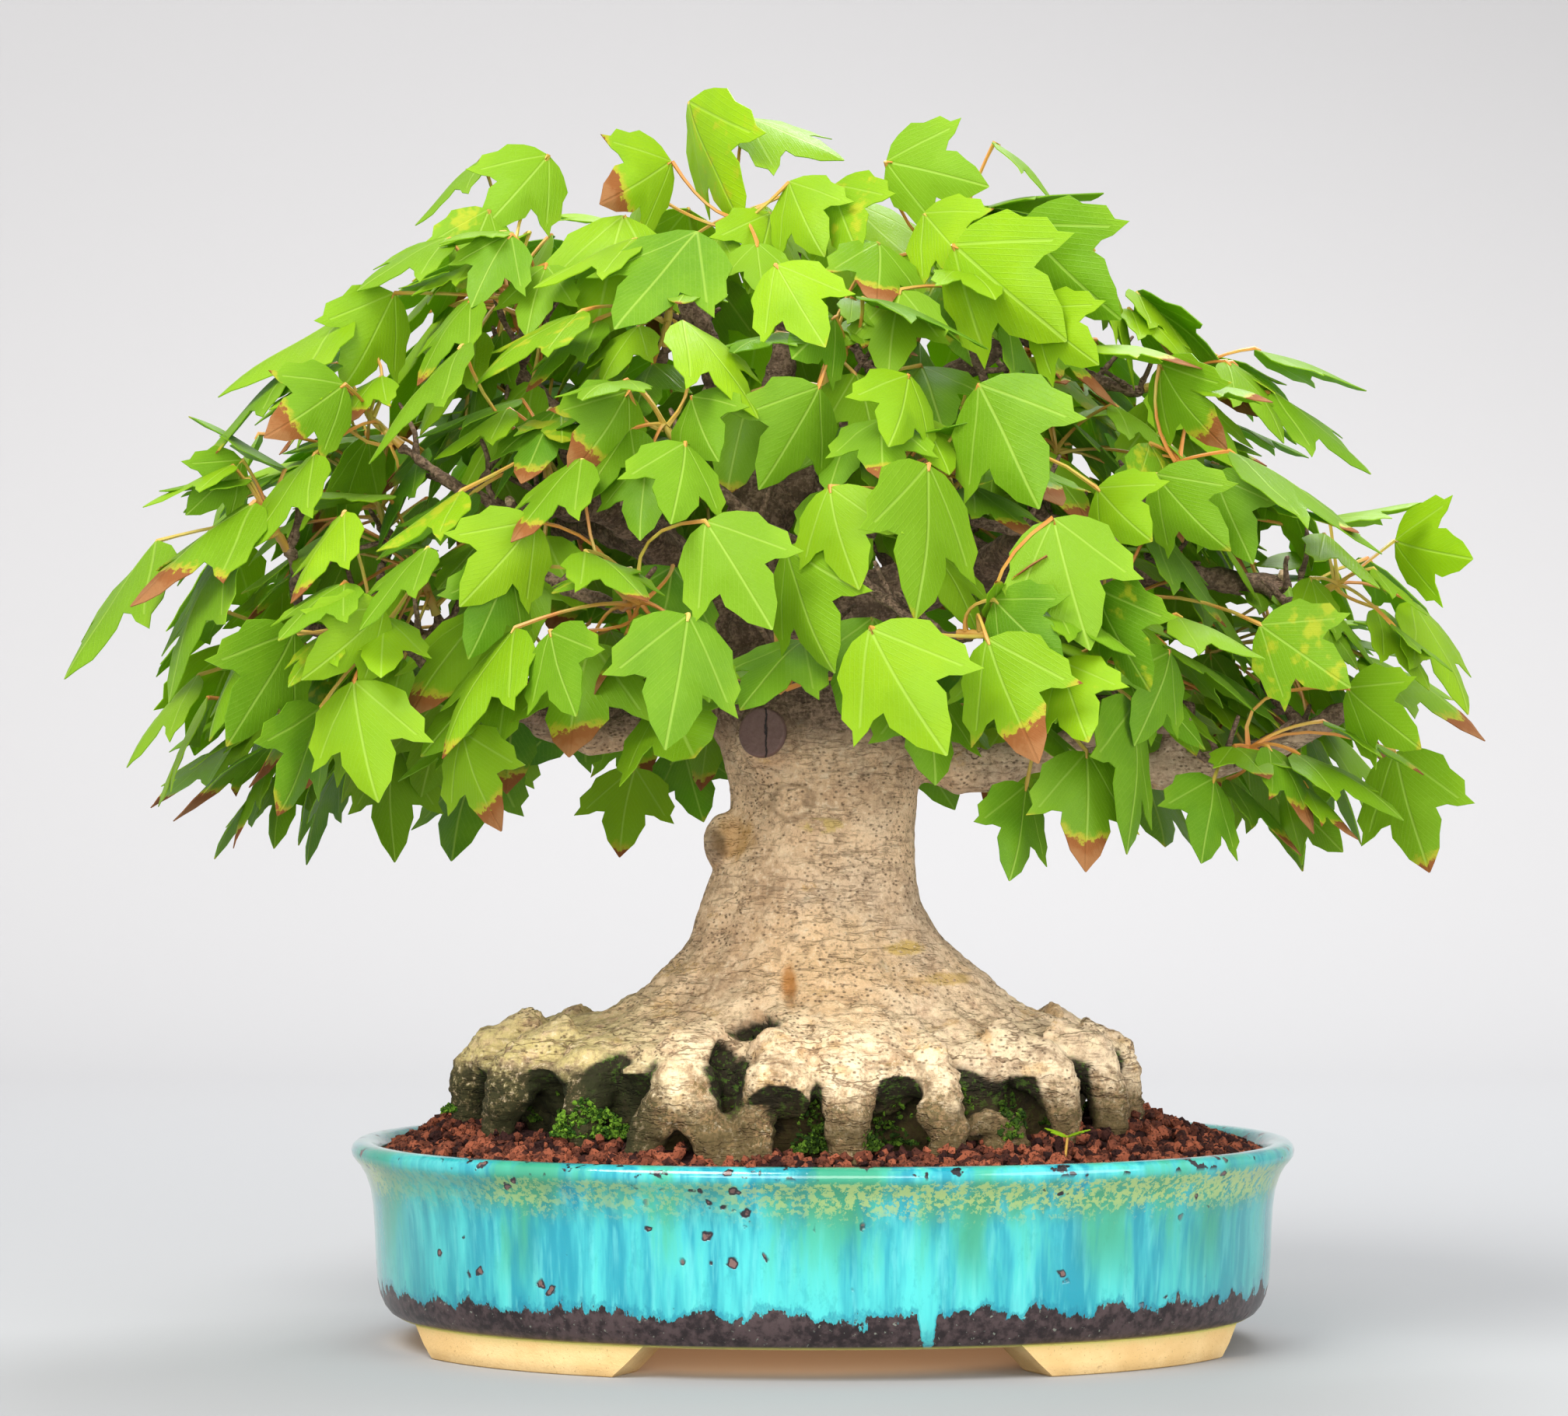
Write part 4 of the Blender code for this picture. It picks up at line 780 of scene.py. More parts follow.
def place_leaf(shoot, leaf, name, solids):
    """Settles one leaf clear of all that is placed, turning, moving and shrinking it as little as it can."""
    base, forward, face, length, width = leaf
    flats = stem_flats(shoot)
    chance = random.Random(name)
    for attempt in range(400):
        strength = attempt / 60
        drift = random_vector(chance)
        turn = random_vector(chance)
        flat = pick_flat(flats, shoot["used"], base) if attempt % 3 < 2 else chance.choice(
            [k for k in range(len(flats)) if k not in shoot["used"]])
        start, outward = flats[flat]
        size = max(0.42, 1 - 0.0022 * attempt)
        spot = base.lerp(start + (base - start).normalized() * 0.012, min(0.75, 0.0025 * attempt))
        spot = spot + drift * 0.006 * strength
        ahead = (forward + turn * 0.22 * min(strength, 4)).normalized()
        up = across_to(ahead, face + drift * 0.2 * min(strength, 4))
        settled = {"start": start, "outward": outward, "base": spot, "forward": ahead, "face": up,
                   "length": length * size, "width": width * size, "flat": flat}
        if not solids.touches(leaf_shape(settled, LEAF_CLEARANCE)):
            break
    else:
        print("leaf not clear", name)
    solids.add(leaf_shape(settled, 0.0))
    shoot["used"].add(settled["flat"])
    shoot["leaves"].append(settled)
    return attempt


def leaf_sections(leaf, extra, first):
    stalk = stalk_sections(leaf["start"], leaf["outward"], leaf["base"], leaf["forward"], leaf["face"],
                           extra, first)
    blade = blade_sections(leaf["base"], leaf["forward"], leaf["face"], leaf["length"], leaf["width"], extra)
    return stalk + blade


def leaf_shape(leaf, extra):
    """The leaf as a plain shape; with extra round it, its stalk starts clear of its own stem."""
    reach = (leaf["base"] - leaf["start"]).length
    return skin_of(leaf_sections(leaf, extra, min(0.5, (STALK_ROOT + 1.5 * extra) / reach)))


def growth_plan():
    """All shoots with their settled leaves."""
    leaves = planned_leaves()
    shoots = plan_shoots(leaves)
    solids = wood_obstacles()
    clear_stems(shoots, solids)
    owner = {}
    for k, shoot in enumerate(shoots):
        shoot["used"] = set()
        for member in shoot["members"]:
            owner[member] = k
    worst = 0
    for index, leaf in enumerate(leaves):
        worst = max(worst, place_leaf(shoots[owner[index]], leaf, f"leaf {index}", solids))
    print("leaves", len(leaves), "shoots", len(shoots), "most attempts", worst)
    return shoots


shoots = growth_plan()

# %% [markdown]
# ## Leaves
# A trident maple leaf has three lobes that all point forward, a finely toothed edge, three pale veins from
# the stalk and a slightly folded midrib. The blade starts as a grid, whose rows are moved to the outline, so
# the flat grid also gives the surface a map in which the veins are simple lines.

# %% The leaf's outline
# Along the leaf: place of the midrib, place of the edge, half width, as shares of length and width
BLADE_ROWS = [
    (0.000, 0.000, 0.030), (0.025, 0.012, 0.150), (0.065, 0.060, 0.270), (0.110, 0.150, 0.365),
    (0.160, 0.270, 0.430), (0.215, 0.400, 0.478), (0.270, 0.510, 0.500), (0.330, 0.600, 0.505),
    (0.380, 0.575, 0.400), (0.430, 0.535, 0.290), (0.500, 0.535, 0.225), (0.600, 0.640, 0.220),
    (0.700, 0.745, 0.190), (0.800, 0.845, 0.135), (0.900, 0.930, 0.070), (1.000, 1.000, 0.006),
]
BLADE_COLUMNS = 4
BLADE_THICKNESS = 0.00030
BLADE_GROWTH = 1.09  # the real edge is wavy and longer than the plain one


def add_blade(bm, leaf, flat_map, tint_layer, tint):
    """One leaf blade: a grid moved to the outline, bent, and given a thickness."""
    base, forward, face = leaf["base"], leaf["forward"], leaf["face"]
    length, width = leaf["length"] * BLADE_GROWTH, leaf["width"] * BLADE_GROWTH
    side = forward.cross(face)
    chance = random.Random(f"{base.x:.4f} {base.z:.4f}")
    curl, fold = chance.uniform(0.08, 0.30), chance.uniform(0.08, 0.28)
    lobe_drop, sway = chance.uniform(-0.02, 0.10), chance.uniform(-0.05, 0.05)
    ripple = [chance.uniform(0, math.tau) for _ in range(2)]
    rows = len(BLADE_ROWS) - 1
    made = bmesh.ops.create_grid(bm, x_segments=BLADE_COLUMNS, y_segments=rows, size=1.0)["verts"]
    for vert in made:
        across = vert.co.x
        row = round((vert.co.y + 1) / 2 * rows)
        mid_share, side_share, half = BLADE_ROWS[row]
        tooth = 1.0 + (0.05 if row % 2 else -0.05) * (abs(across) > 0.99)
        blend = abs(across) ** 1.25
        along = mid_share + (side_share - mid_share) * blend
        out = across * half * tooth
        vert[flat_map] = Vector((out, along, 0.0))
    for vert in made:
        out, along = vert[flat_map].x * width, vert[flat_map].y
        drop = curl * along * along * length + fold * abs(out)
        drop += lobe_drop * abs(out / width) * along * length
        drop += 0.012 * length * math.sin(9 * along + ripple[0]) * (abs(out) / width * 2)
        drop += 0.010 * length * math.sin(7 * along + 12 * out / width + ripple[1])
        bend = sway * along * along * length
        vert.co = base + forward * along * length + side * (out + bend) - face * drop
        vert[tint_layer] = Vector(tint)
    faces = list({f for vert in made for f in vert.link_faces})
    if sum((f.normal_update() or f.normal.dot(face)) for f in faces) < 0:
        bmesh.ops.reverse_faces(bm, faces=faces)
    bmesh.ops.solidify(bm, geom=faces, thickness=BLADE_THICKNESS)


rows_a_blade = len(BLADE_ROWS) - 1
print("faces a leaf", 2 * BLADE_COLUMNS * rows_a_blade + 2 * (BLADE_COLUMNS + rows_a_blade))

# %% [markdown]
# The leaf's finish: bright yellow-green to blue-green, a pale midrib and two side veins with fine veins
# between them, paler blotches, and on about a quarter of the leaves a rust-brown burnt tip with a yellow
# edge. Light passes through a leaf, so a Translucent shader carries part of it.

# %% Leaf finish
def leaf_finish():
    leaf = Finish("maple_leaf", Roughness=0.42, Specular_IOR_Level=0.22)
    flat = leaf.attribute("flat_map", "Vector")
    across, along, _ = leaf.split(flat)
    tint = leaf.attribute("leaf_tint", "Vector")
    hue, burn, pale = leaf.split(tint)
    side = across.math("ABSOLUTE")
    fine = leaf.noise(420.0, 4.0, 0.6)
    broad = leaf.noise(70.0, 3.0, 0.5)
    # the three main veins, and the ribs that leave the midrib at an angle
    midrib = 1 - leaf.step(side, 0.004, 0.016)
    lobe_vein = 1 - leaf.step((side - along * 0.80).math("ABSOLUTE"), 0.004, 0.018)
    lobe_vein = lobe_vein * (along < 0.52)
    ribs = ((along * 15.0 - side * 22.0).math("FRACT") - 0.5).math("ABSOLUTE")
    ribs = (1 - leaf.step(ribs, 0.02, 0.11)) * 0.45
    net = leaf.cells(30.0, flat, feature="DISTANCE_TO_EDGE")
    net = (1 - leaf.step(net, 0.0, 0.10)) * 0.25
    veins = (midrib + lobe_vein * 0.8).math("MINIMUM", 1.0)
    minor = (ribs + net).math("MINIMUM", 1.0) * (1 - veins)
    # dark green to bright yellow-green by yellowness: partly the leaf's own colour, partly painted shade
    # inside the crown
    young = leaf.mix(hue, (0.072, 0.235, 0.012), (0.37, 0.60, 0.008))
    colour = leaf.mix(leaf.step(broad, 0.35, 0.7) * 0.45, young, (0.24, 0.46, 0.018))
    colour = leaf.mix(minor * 0.34, colour, (0.38, 0.62, 0.07))
    colour = leaf.mix(veins * 0.50, colour, (0.50, 0.70, 0.12))
    edge = leaf.step(side + fine * 0.08, 0.34, 0.56) * leaf.step(along + fine * 0.1, 0.2, 0.5)
    colour = leaf.mix(edge * 0.25, colour, (0.42, 0.66, 0.03))
    # pale yellow patches on ageing leaves
    patches = leaf.step(leaf.noise(150.0, 3.0, 0.6) + pale * 0.42, 0.80, 0.92)
    colour = leaf.mix(patches * 0.70, colour, (0.56, 0.56, 0.03))
    # burnt tips: a yellow halo, then rust brown with a dark rim
    reach = along + side * 0.30 + (fine - 0.5) * 0.22 + (broad - 0.5) * 0.16
    limit = 1.06 - burn * 0.36
    halo = leaf.step(reach - limit, -0.085, -0.01)
    scorch = leaf.step(reach - limit, -0.012, 0.016)
    crisp = leaf.step(reach - limit, 0.05, 0.16)
    colour = leaf.mix(halo * 0.8, colour, (0.58, 0.50, 0.04))
    colour = leaf.mix(scorch, colour, (0.36, 0.13, 0.035))
    colour = leaf.mix(crisp * 0.6, colour, (0.50, 0.25, 0.10))
    relief = leaf.bump(minor * 0.5 + veins * -0.8 + fine * 0.35, 0.45, 0.0005)
    sheen = leaf.step(fine, 0.2, 0.9) * 0.16 + 0.36 + scorch * 0.3
    leaf.feed(Base_Color=colour, Normal=relief, Roughness=sheen)
    glow = leaf.tree.nodes.new("ShaderNodeBsdfTranslucent")
    through = leaf.mix(0.45, colour, (0.42, 0.80, 0.03))
    leaf.tree.links.new(leaf.mix(scorch, through, (0.22, 0.07, 0.02)).socket, glow.inputs["Color"])
    blend = leaf.tree.nodes.new("ShaderNodeMixShader")
    blend.inputs[0].default_value = 0.34
    leaf.tree.links.new(leaf.shader.outputs[0], blend.inputs[1])
    leaf.tree.links.new(glow.outputs[0], blend.inputs[2])
    leaf.tree.links.new(blend.outputs[0], leaf.tree.nodes["Material Output"].inputs["Surface"])
    return leaf.material


def stalk_finish():
    stalk = Finish("leaf_stalk", Roughness=0.45)
    tone = stalk.noise(60.0, 2.0)
    colour = stalk.mix(stalk.step(tone, 0.35, 0.65), (0.60, 0.23, 0.045), (0.52, 0.40, 0.07))
    return stalk.feed(Base_Color=colour, Normal=stalk.bump(stalk.noise(900.0), 0.3, 0.0002))


leaf_green, stalk_orange = leaf_finish(), stalk_finish()

# %% [markdown]
# Each shoot is one piece, as it grew: a slender reddish stem, arched stalks that leave it in pairs, and the
# blades. Older leaves sit low and inside and are darker, partly their own colour and partly painted shade;
# those at the edge of the crown are yellower and painted brighter.

# %% Stalks
STALK_SIDES = 5
STALK_STEPS = 6
STALK_THICKNESS = 0.00050  # radius
STALK_TIP = 0.00035  # radius where it runs into the midrib


def round_ring(middle, forward, hint, radius, sides):
    up = across_to(forward, hint)
    side = forward.cross(up)
    return [middle + (up * math.cos(a) + side * math.sin(a)) * radius
            for a in (math.tau * k / sides for k in range(sides))]


def add_stalk(bm, leaf):
    """The arched stalk, thicker at the stem and where it meets the blade."""
    start, base = leaf["start"], leaf["base"]
    reach = (base - start).length
    bend = start + leaf["outward"] * reach * 0.40 + Vector((0, 0, reach * 0.16))
    rings = []
    for k in range(STALK_STEPS + 1):
        t = k / STALK_STEPS
        point, tangent = arch(start, bend, base, t)
        swell = 1.0 + 0.8 * (1 - t) ** 6 + 0.35 * t ** 8
        rings.append(round_ring(point, tangent, leaf["face"], STALK_THICKNESS * swell, STALK_SIDES))
    in_blade = base + leaf["forward"] * 0.002 - leaf["face"] * BLADE_THICKNESS
    rings.append(round_ring(in_blade, leaf["forward"], leaf["face"], STALK_TIP, STALK_SIDES))
    skin_rings(bm, rings, 1)


# %% [markdown]
# No two leaves have the same colour. Leaves at the edge of the crown get more sun and are yellower and
# painted brighter, and those near its middle darker, partly their own colour and partly painted shade; about a
# quarter have a burnt tip, and a few have begun to turn. Three numbers for each leaf, stored on its corners,
# let one finish colour them all.

# %% Colour of each leaf
BURNT_SHARE = 0.28
PALE_SHARE = 0.08


def leaf_tint(leaf, chance):
    """Yellowness, burn and pallor of one leaf, from where it hangs; low yellowness inside the crown is partly
    painted shade.
    """
    place = leaf["base"]
    out = Vector(((place.x / MM - CROWN_MIDDLE[0]) / CROWN_REACH[0], place.y / MM / CROWN_REACH[1],
                  (place.z / MM - CROWN_MIDDLE[2]) / CROWN_REACH[2]))
    yellow = min(1.0, max(0.0, 0.15 + 0.55 * out.length ** 2 + chance.uniform(-0.35, 0.35)))
    burn = chance.uniform(0.25, 1.0) if chance.random() < BURNT_SHARE else chance.uniform(-0.3, 0.1)
    pale = chance.uniform(0.3, 0.8) if chance.random() < PALE_SHARE else 0.0
    return yellow, burn, pale


# %% [markdown]
# A real crown is closed by many small leaves between the large ones. They sprout round the tip of each shoot
# here, more of them behind and on top, where no leaf was placed one by one. Those that would hide the pruning
# cut or hang in front of the trunk are left out.

# %% Young leaves
YOUNG_LEAVES = 4
YOUNG_LEAVES_BEHIND = 9
YOUNG_FRONT = -0.030  # shoots that start further back than this count as behind
YOUNG_LEAST, YOUNG_MOST = 0.019, 0.029  # length
YOUNG_STALK = (0.008, 0.022)  # shortest and longest
YOUNG_STALK_BEHIND = (0.008, 0.034)
YOUNG_GROWTH_BEHIND = 1.2
YOUNG_SKIRT = 0.186  # none hangs lower than this in front of the trunk
TRUNK_VIEW = 0.075  # half the width that counts as in front of the trunk


def young_leaves(shoot, chance):
    """Smaller leaves round the tip of a shoot, which fill the inside of the crown."""
    tip = shoot["base"] + shoot["forward"] * STEM_LENGTH
    heart, cut = Vector(CROWN_MIDDLE) * MM, Vector(CUT_PLACE) * MM
    sight = (Vector(EYE) * MM - cut).normalized()
    count, reach, growth = YOUNG_LEAVES, YOUNG_STALK, 1.0
    if shoot["base"].y > YOUNG_FRONT:
        count, reach, growth = YOUNG_LEAVES_BEHIND, YOUNG_STALK_BEHIND, YOUNG_GROWTH_BEHIND
    made = []
    for _ in range(count):
        drift = random_vector(chance)
        outward = (shoot["forward"] * 0.3 + drift).normalized()
        base = tip + outward * chance.uniform(*reach)
        level = (base - heart).to_2d().normalized().to_3d()
        ahead = (level + drift * 0.8 - Vector((0, 0, chance.uniform(0.2, 1.2)))).normalized()
        face = across_to(ahead, level * 0.5 + drift * 0.4 + Vector((0, 0, 1)))
        length = chance.uniform(YOUNG_LEAST, YOUNG_MOST) * growth
        middle = base + ahead * length * 0.5
        ahead_of_cut = (middle - cut).dot(sight)
        beside_cut = (middle - cut - sight * ahead_of_cut).length
        below_skirt = (base + ahead * length).z < YOUNG_SKIRT and abs(base.x - cut.x) < TRUNK_VIEW
        if (ahead_of_cut > 0 and beside_cut < CUT_RADIUS + length * 0.5) or below_skirt:
            continue
        made.append({"start": tip - shoot["forward"] * 0.001, "outward": outward, "base": base,
                     "forward": ahead, "face": face, "length": length, "width": length * 0.98})
    return made


# %% [markdown]
# A shoot's stem swells at each pair of buds and thins towards its tip. Stem, stalks and blades of one shoot
# go into one mesh with two finishes, the green one for the blades and the orange-red one for the rest.

# %% Shoots
# Place along the stem, and its radius there
STEM_PROFILE = ((0.0, 0.0016), (0.2, 0.00125), (0.33, 0.00145), (0.45, 0.0011), (0.66, 0.0013), (0.8, 0.0010),
                (1.0, 0.0005))
STEM_SIDES = 7

leaf_count = 0
for number, shoot in enumerate(shoots, start=1):
    bm = bmesh.new()
    flat_map = bm.verts.layers.float_vector.new("flat_map")
    tint_layer = bm.verts.layers.float_vector.new("leaf_tint")
    top = shoot["base"] + shoot["forward"] * (STEM_LENGTH + GAP)
    skin_rings(bm, [round_ring(shoot["base"].lerp(top, t), shoot["forward"], shoot["right"], radius,
                               STEM_SIDES) for t, radius in STEM_PROFILE], 1)
    chance = random.Random(f"tint {number}")
    for leaf in shoot["leaves"] + young_leaves(shoot, chance):
        add_stalk(bm, leaf)
        add_blade(bm, leaf, flat_map, tint_layer, leaf_tint(leaf, chance))
        leaf_count += 1
    name = f"shoot_{number:02d}"
    finished(f"leafy_{name}", bm, [leaf_green, stalk_orange], "leaf", name, sharp=60)
print("leaves", leaf_count)

# %% [markdown]
# ## Roots, trunk and branches
# The wood grew as one piece. Its parts start as simple closed shapes: a ringed skin for the flared base and
# trunk, tapered tubes for the branches, twigs and root toes, and balls for healed swellings. A voxel remesh
# melts them into one skin, and noise along the normals then raises bark ridges, knobs and wrinkles.

# %% Spread of the roots
# How far out the wood reaches at each height, mm, as a share of the root spread: where the plateau's edge
# hangs over a hollow, and in front, where the toes stand free
LEDGE = ([48, 57, 70, 79, 83, 88, 93.5, 107], [0.90, 0.87, 0.83, 0.86, 0.97, 1.0, 1.0, 1.0])
FRONT = ([48, 57, 70, 79, 84, 89, 93.5, 97.5, 107], [0.88, 0.82, 0.79, 0.80, 0.83, 0.87, 0.92, 0.97, 1.0])
FRONT_MIDDLE, FRONT_HALF = 286, 47  # degrees
# Root toes: degrees round the base, share of the root spread, height and radius in mm
FREE_TOES = [
    [(229, 0.80, 82, 8), (229, 0.88, 76, 6.5), (230, 0.92, 68, 5), (231, 0.92, 56, 4.5)],
    [(249, 0.66, 90, 8), (249, 0.80, 85, 10), (250, 0.91, 77, 9), (246, 0.96, 68, 6), (243.5, 0.97, 57, 4.5)],
    [(250, 0.84, 80, 8), (253, 0.94, 72, 6.5), (256, 0.98, 64, 5), (258, 1.0, 56, 4)],
    [(257, 0.92, 70, 2.6), (260, 0.98, 63, 2.2), (261, 1.0, 56, 1.8)],
    [(268, 0.60, 92, 10), (267.5, 0.78, 86, 10), (267, 0.90, 79, 9.5), (267, 0.945, 75.5, 8.5)],
    [(263, 0.86, 74, 6), (262.5, 0.92, 67, 5.5), (263, 0.94, 56, 5)],
    [(279, 0.62, 93, 11), (279, 0.78, 86, 11), (279, 0.88, 80, 9), (278.5, 0.95, 70, 6.2),
     (278.5, 0.96, 57, 5.5)],
    [(287, 0.64, 92, 10), (287, 0.80, 85, 10), (287, 0.905, 77, 8.5)],
    [(294, 0.70, 90, 8), (295, 0.86, 84, 7.5), (295, 0.95, 76, 5.5), (296, 0.96, 68, 4.5),
     (297, 0.96, 56, 3.8)],
    [(291, 0.93, 74, 4), (293, 0.97, 71, 4), (294, 0.98, 64, 3.6), (292, 0.98, 57, 3)],
    [(300, 0.90, 66, 3.5), (304, 0.94, 69, 4), (308, 0.96, 66, 3.5), (311, 0.97, 56, 3)],
    [(309, 0.86, 68, 4), (305, 0.95, 62, 3.5), (302, 0.99, 57, 3)],
    [(318, 0.74, 90, 8), (319, 0.89, 84, 7.5), (320, 0.95, 76, 6), (321, 0.96, 66, 4.5), (322, 0.96, 56, 4)],
    [(336, 0.78, 90, 9), (336, 0.90, 84, 8), (336.5, 0.955, 75, 6), (336, 0.97, 65, 5), (335, 0.97, 56, 4.5)],
    [(355, 0.80, 88, 9), (355, 0.91, 82, 8), (354, 0.95, 72, 6), (354, 0.95, 57, 5)],
]
BACK_TOES = [15, 38, 60, 82, 103, 124, 145, 170, 194, 212]  # degrees
BACK_TOE = [(0.74, 90, 9), (0.88, 84, 8.5), (0.945, 76, 6.5), (0.955, 66, 5.5), (0.95, 56, 5)]
SPREAD_X, SPREAD_Y, SPREAD_MIDDLE = trunk_section(0.074)[:3]


def spread_point(degrees, share, height):
    """A place under or on the root spread: share 1 is where the root tips reach."""
    angle = math.radians(degrees)
    return Vector((SPREAD_X * math.cos(angle) * share + SPREAD_MIDDLE,
                   SPREAD_Y * math.sin(angle) * share, height)) * MM


def share_at(place):
    """How far out a place lies, as a share of the root spread."""
    return math.hypot((place.x / MM - SPREAD_MIDDLE) / SPREAD_X, place.y / MM / SPREAD_Y)


def edge_shift(angle):
    """How far the plateau's ragged lower edge wanders up or down."""
    return 0.0075 * noise.noise(Vector((math.cos(angle) * 5.5, math.sin(angle) * 5.5, 3.0)))


def wood_share(angle, height):
    """Share of the wood's reach left at this height, with its hollows and overhangs."""
    offset = abs((math.degrees(angle) - FRONT_MIDDLE + 180) % 360 - 180) / FRONT_HALF
    frontness = 0.5 + 0.5 * math.cos(math.pi * min(1.0, offset ** 2.2))
    shifted = (height + edge_shift(angle)) / MM
    ledge, front = np.interp(shifted, *LEDGE), np.interp(shifted, *FRONT)
    rough = noise.noise(Vector((math.cos(angle) * 6, math.sin(angle) * 6, height * 40)))
    low = 1.0 if height < 0.092 else 0.3
    return ledge + (front - ledge) * frontness + 0.035 * rough * low


# %% [markdown]
# Branches, twigs and toes are tubes along a smooth curve through their bends. Old buds leave a swelling every
# few rings, without which a branch looks like a pipe.

# %% Tubes for branches, twigs and toes
def smooth_path(path, steps=5):
    """Points and radii on a smooth curve through a bent path."""
    ends = [path[0]] + list(path) + [path[-1]]
    made = []
    for a, b, c, d in zip(ends, ends[1:], ends[2:], ends[3:]):
        for k in range(steps):
            t = k / steps
            place = 0.5 * (2 * b[0] + (c[0] - a[0]) * t + (2 * a[0] - 5 * b[0] + 4 * c[0] - d[0]) * t * t
                           + (3 * b[0] - a[0] - 3 * c[0] + d[0]) * t ** 3)
            made.append((place, b[1] + (c[1] - b[1]) * t))
    return made + [path[-1]]


def add_limb(bm, path, sides, knots):
    """A closed tapered tube with a swelling at each old bud."""
    rings = []
    for k, (point, radius) in enumerate(path):
        before, after = path[max(0, k - 1)][0], path[min(len(path) - 1, k + 1)][0]
        forward = (after - before).normalized()
        swell = 1.0 + knots * (0.30 if k % 4 == 0 else 0.06 * math.sin(k * 2.1))
        rings.append(round_ring(point, forward, Vector((0.1, 0.2, 1)), radius * swell, sides))
    skin_rings(bm, rings)


def toe_tube(rows):
    """A root toe: out over the plateau's edge, then down into the soil."""
    return smooth_path([(spread_point(*row[:3]), row[3] * MM) for row in rows], 4)


# %% [markdown]
# The trunk's rings lie closer together over the flared base, where its outline changes fastest. Everything is
# added to one mesh as separate closed shapes that pass into each other.

# %% Trunk, toes, branches and swellings
TRUNK_FLATS = 160
BASE_LEVELS = np.linspace(0.048, 0.100, 20)
TRUNK_LEVELS = np.linspace(0.106, 0.205, 22)
TOE_SIDES, LIMB_SIDES, TWIG_SIDES = 14, 12, 8
TOE_KNOTS, LIMB_KNOTS, TWIG_KNOTS = 0.35, 0.75, 0.8
STUB_MOST = 0.0024  # radius of the thickest cut stub

bm = bmesh.new()
trunk_rings = []
for height in np.concatenate([BASE_LEVELS, TRUNK_LEVELS]):
    sway = 0.0 if height < 0.1 else 0.0012 * math.sin(height * 90)
    half_x, half_y, middle, groove = trunk_section(float(height))
    ring = []
    for k in range(TRUNK_FLATS):
        angle = math.tau * k / TRUNK_FLATS
        share = wood_share(angle, float(height)) if height < 0.107 else 1.0
        if height > 0.086:
            share *= 1 - groove * 0.8 * (1 - toe_wave(angle))
        point = Vector((half_x * math.cos(angle) * share + middle, half_y * math.sin(angle) * share, 0)) * MM
        point.z = height
        flute = 0.9 * MM * math.sin(5 * angle + height * 30) * min(1.0, max(0.0, (height - 0.09) / 0.03))
        ring.append(point + Vector((math.cos(angle), math.sin(angle), 0)) * flute + Vector((sway, 0, 0)))
    trunk_rings.append(ring)
skin_rings(bm, trunk_rings)
for rows in FREE_TOES:
    add_limb(bm, toe_tube(rows), TOE_SIDES, TOE_KNOTS)
for degrees in BACK_TOES:
    chance = random.Random(f"toe {degrees}")
    wander = [chance.uniform(-2.5, 2.5) for _ in BACK_TOE]
    add_limb(bm, toe_tube([(degrees + shift, share, height, radius * chance.uniform(0.85, 1.15))
                           for shift, (share, height, radius) in zip(wander, BACK_TOE)]),
             TOE_SIDES, TOE_KNOTS)
stub_ends = []
for number, path in enumerate(limb_paths()):
    bent = smooth_path(path)
    add_limb(bm, bent, LIMB_SIDES, LIMB_KNOTS)
    chance = random.Random(f"stub {number}")
    for point, radius in bent[6::6]:
        out = Vector((chance.uniform(-1, 1), chance.uniform(-1, 0.6), chance.uniform(-0.1, 1))).normalized()
        end = point + out * (radius + chance.uniform(0.003, 0.006))
        thick = min(radius * 0.55, STUB_MOST)
        add_limb(bm, [(point, thick), (end - out * 0.0001, thick), (end, thick * 0.9)], TWIG_SIDES, 0.0)
        stub_ends.append((end, thick))
for shoot in shoots:
    add_limb(bm, smooth_path(shoot["twig"], 3), TWIG_SIDES, TWIG_KNOTS)
for x, y, z, *radii in BURLS:
    place = Matrix.Translation(Vector((x, y, z)) * MM) @ Matrix.Diagonal((*(r * MM for r in radii), 1))
    bmesh.ops.create_icosphere(bm, subdivisions=3, radius=1.0, matrix=place)
print("wood before remeshing", len(bm.faces), "faces")

# %% [markdown]
# The pruning cut on the front is a short stub with a raised lip of callus, sealed with paste. Its disc sits
# on the stub. Short cut stubs also stand on the branches, with pale end grain.

# %% Cut stub and the paste on it
CUT_FACING = Vector((-0.35, -1.0, 0.10)).normalized()
CALLUS_FOOT, CALLUS_LIP = 0.0042, 0.0012  # how far the callus is wider than the cut, behind and in front
CALLUS_DEPTH = 0.0125


def facing_cut(away):
    """The placement of a round shape on the cut's axis, this far in front of its face."""
    turn = CUT_FACING.to_track_quat("Z", "Y").to_matrix().to_4x4()
    return Matrix.Translation(cut_face + CUT_FACING * away) @ turn


cut_face = Vector(CUT_PLACE) * MM
bmesh.ops.create_cone(bm, cap_ends=True, segments=40, radius1=CUT_RADIUS + CALLUS_FOOT,
                      radius2=CUT_RADIUS + CALLUS_LIP, depth=CALLUS_DEPTH, matrix=facing_cut(-0.006))
bmesh.ops.recalc_face_normals(bm, faces=bm.faces)
wood = plain_mesh("wood_start", bm)

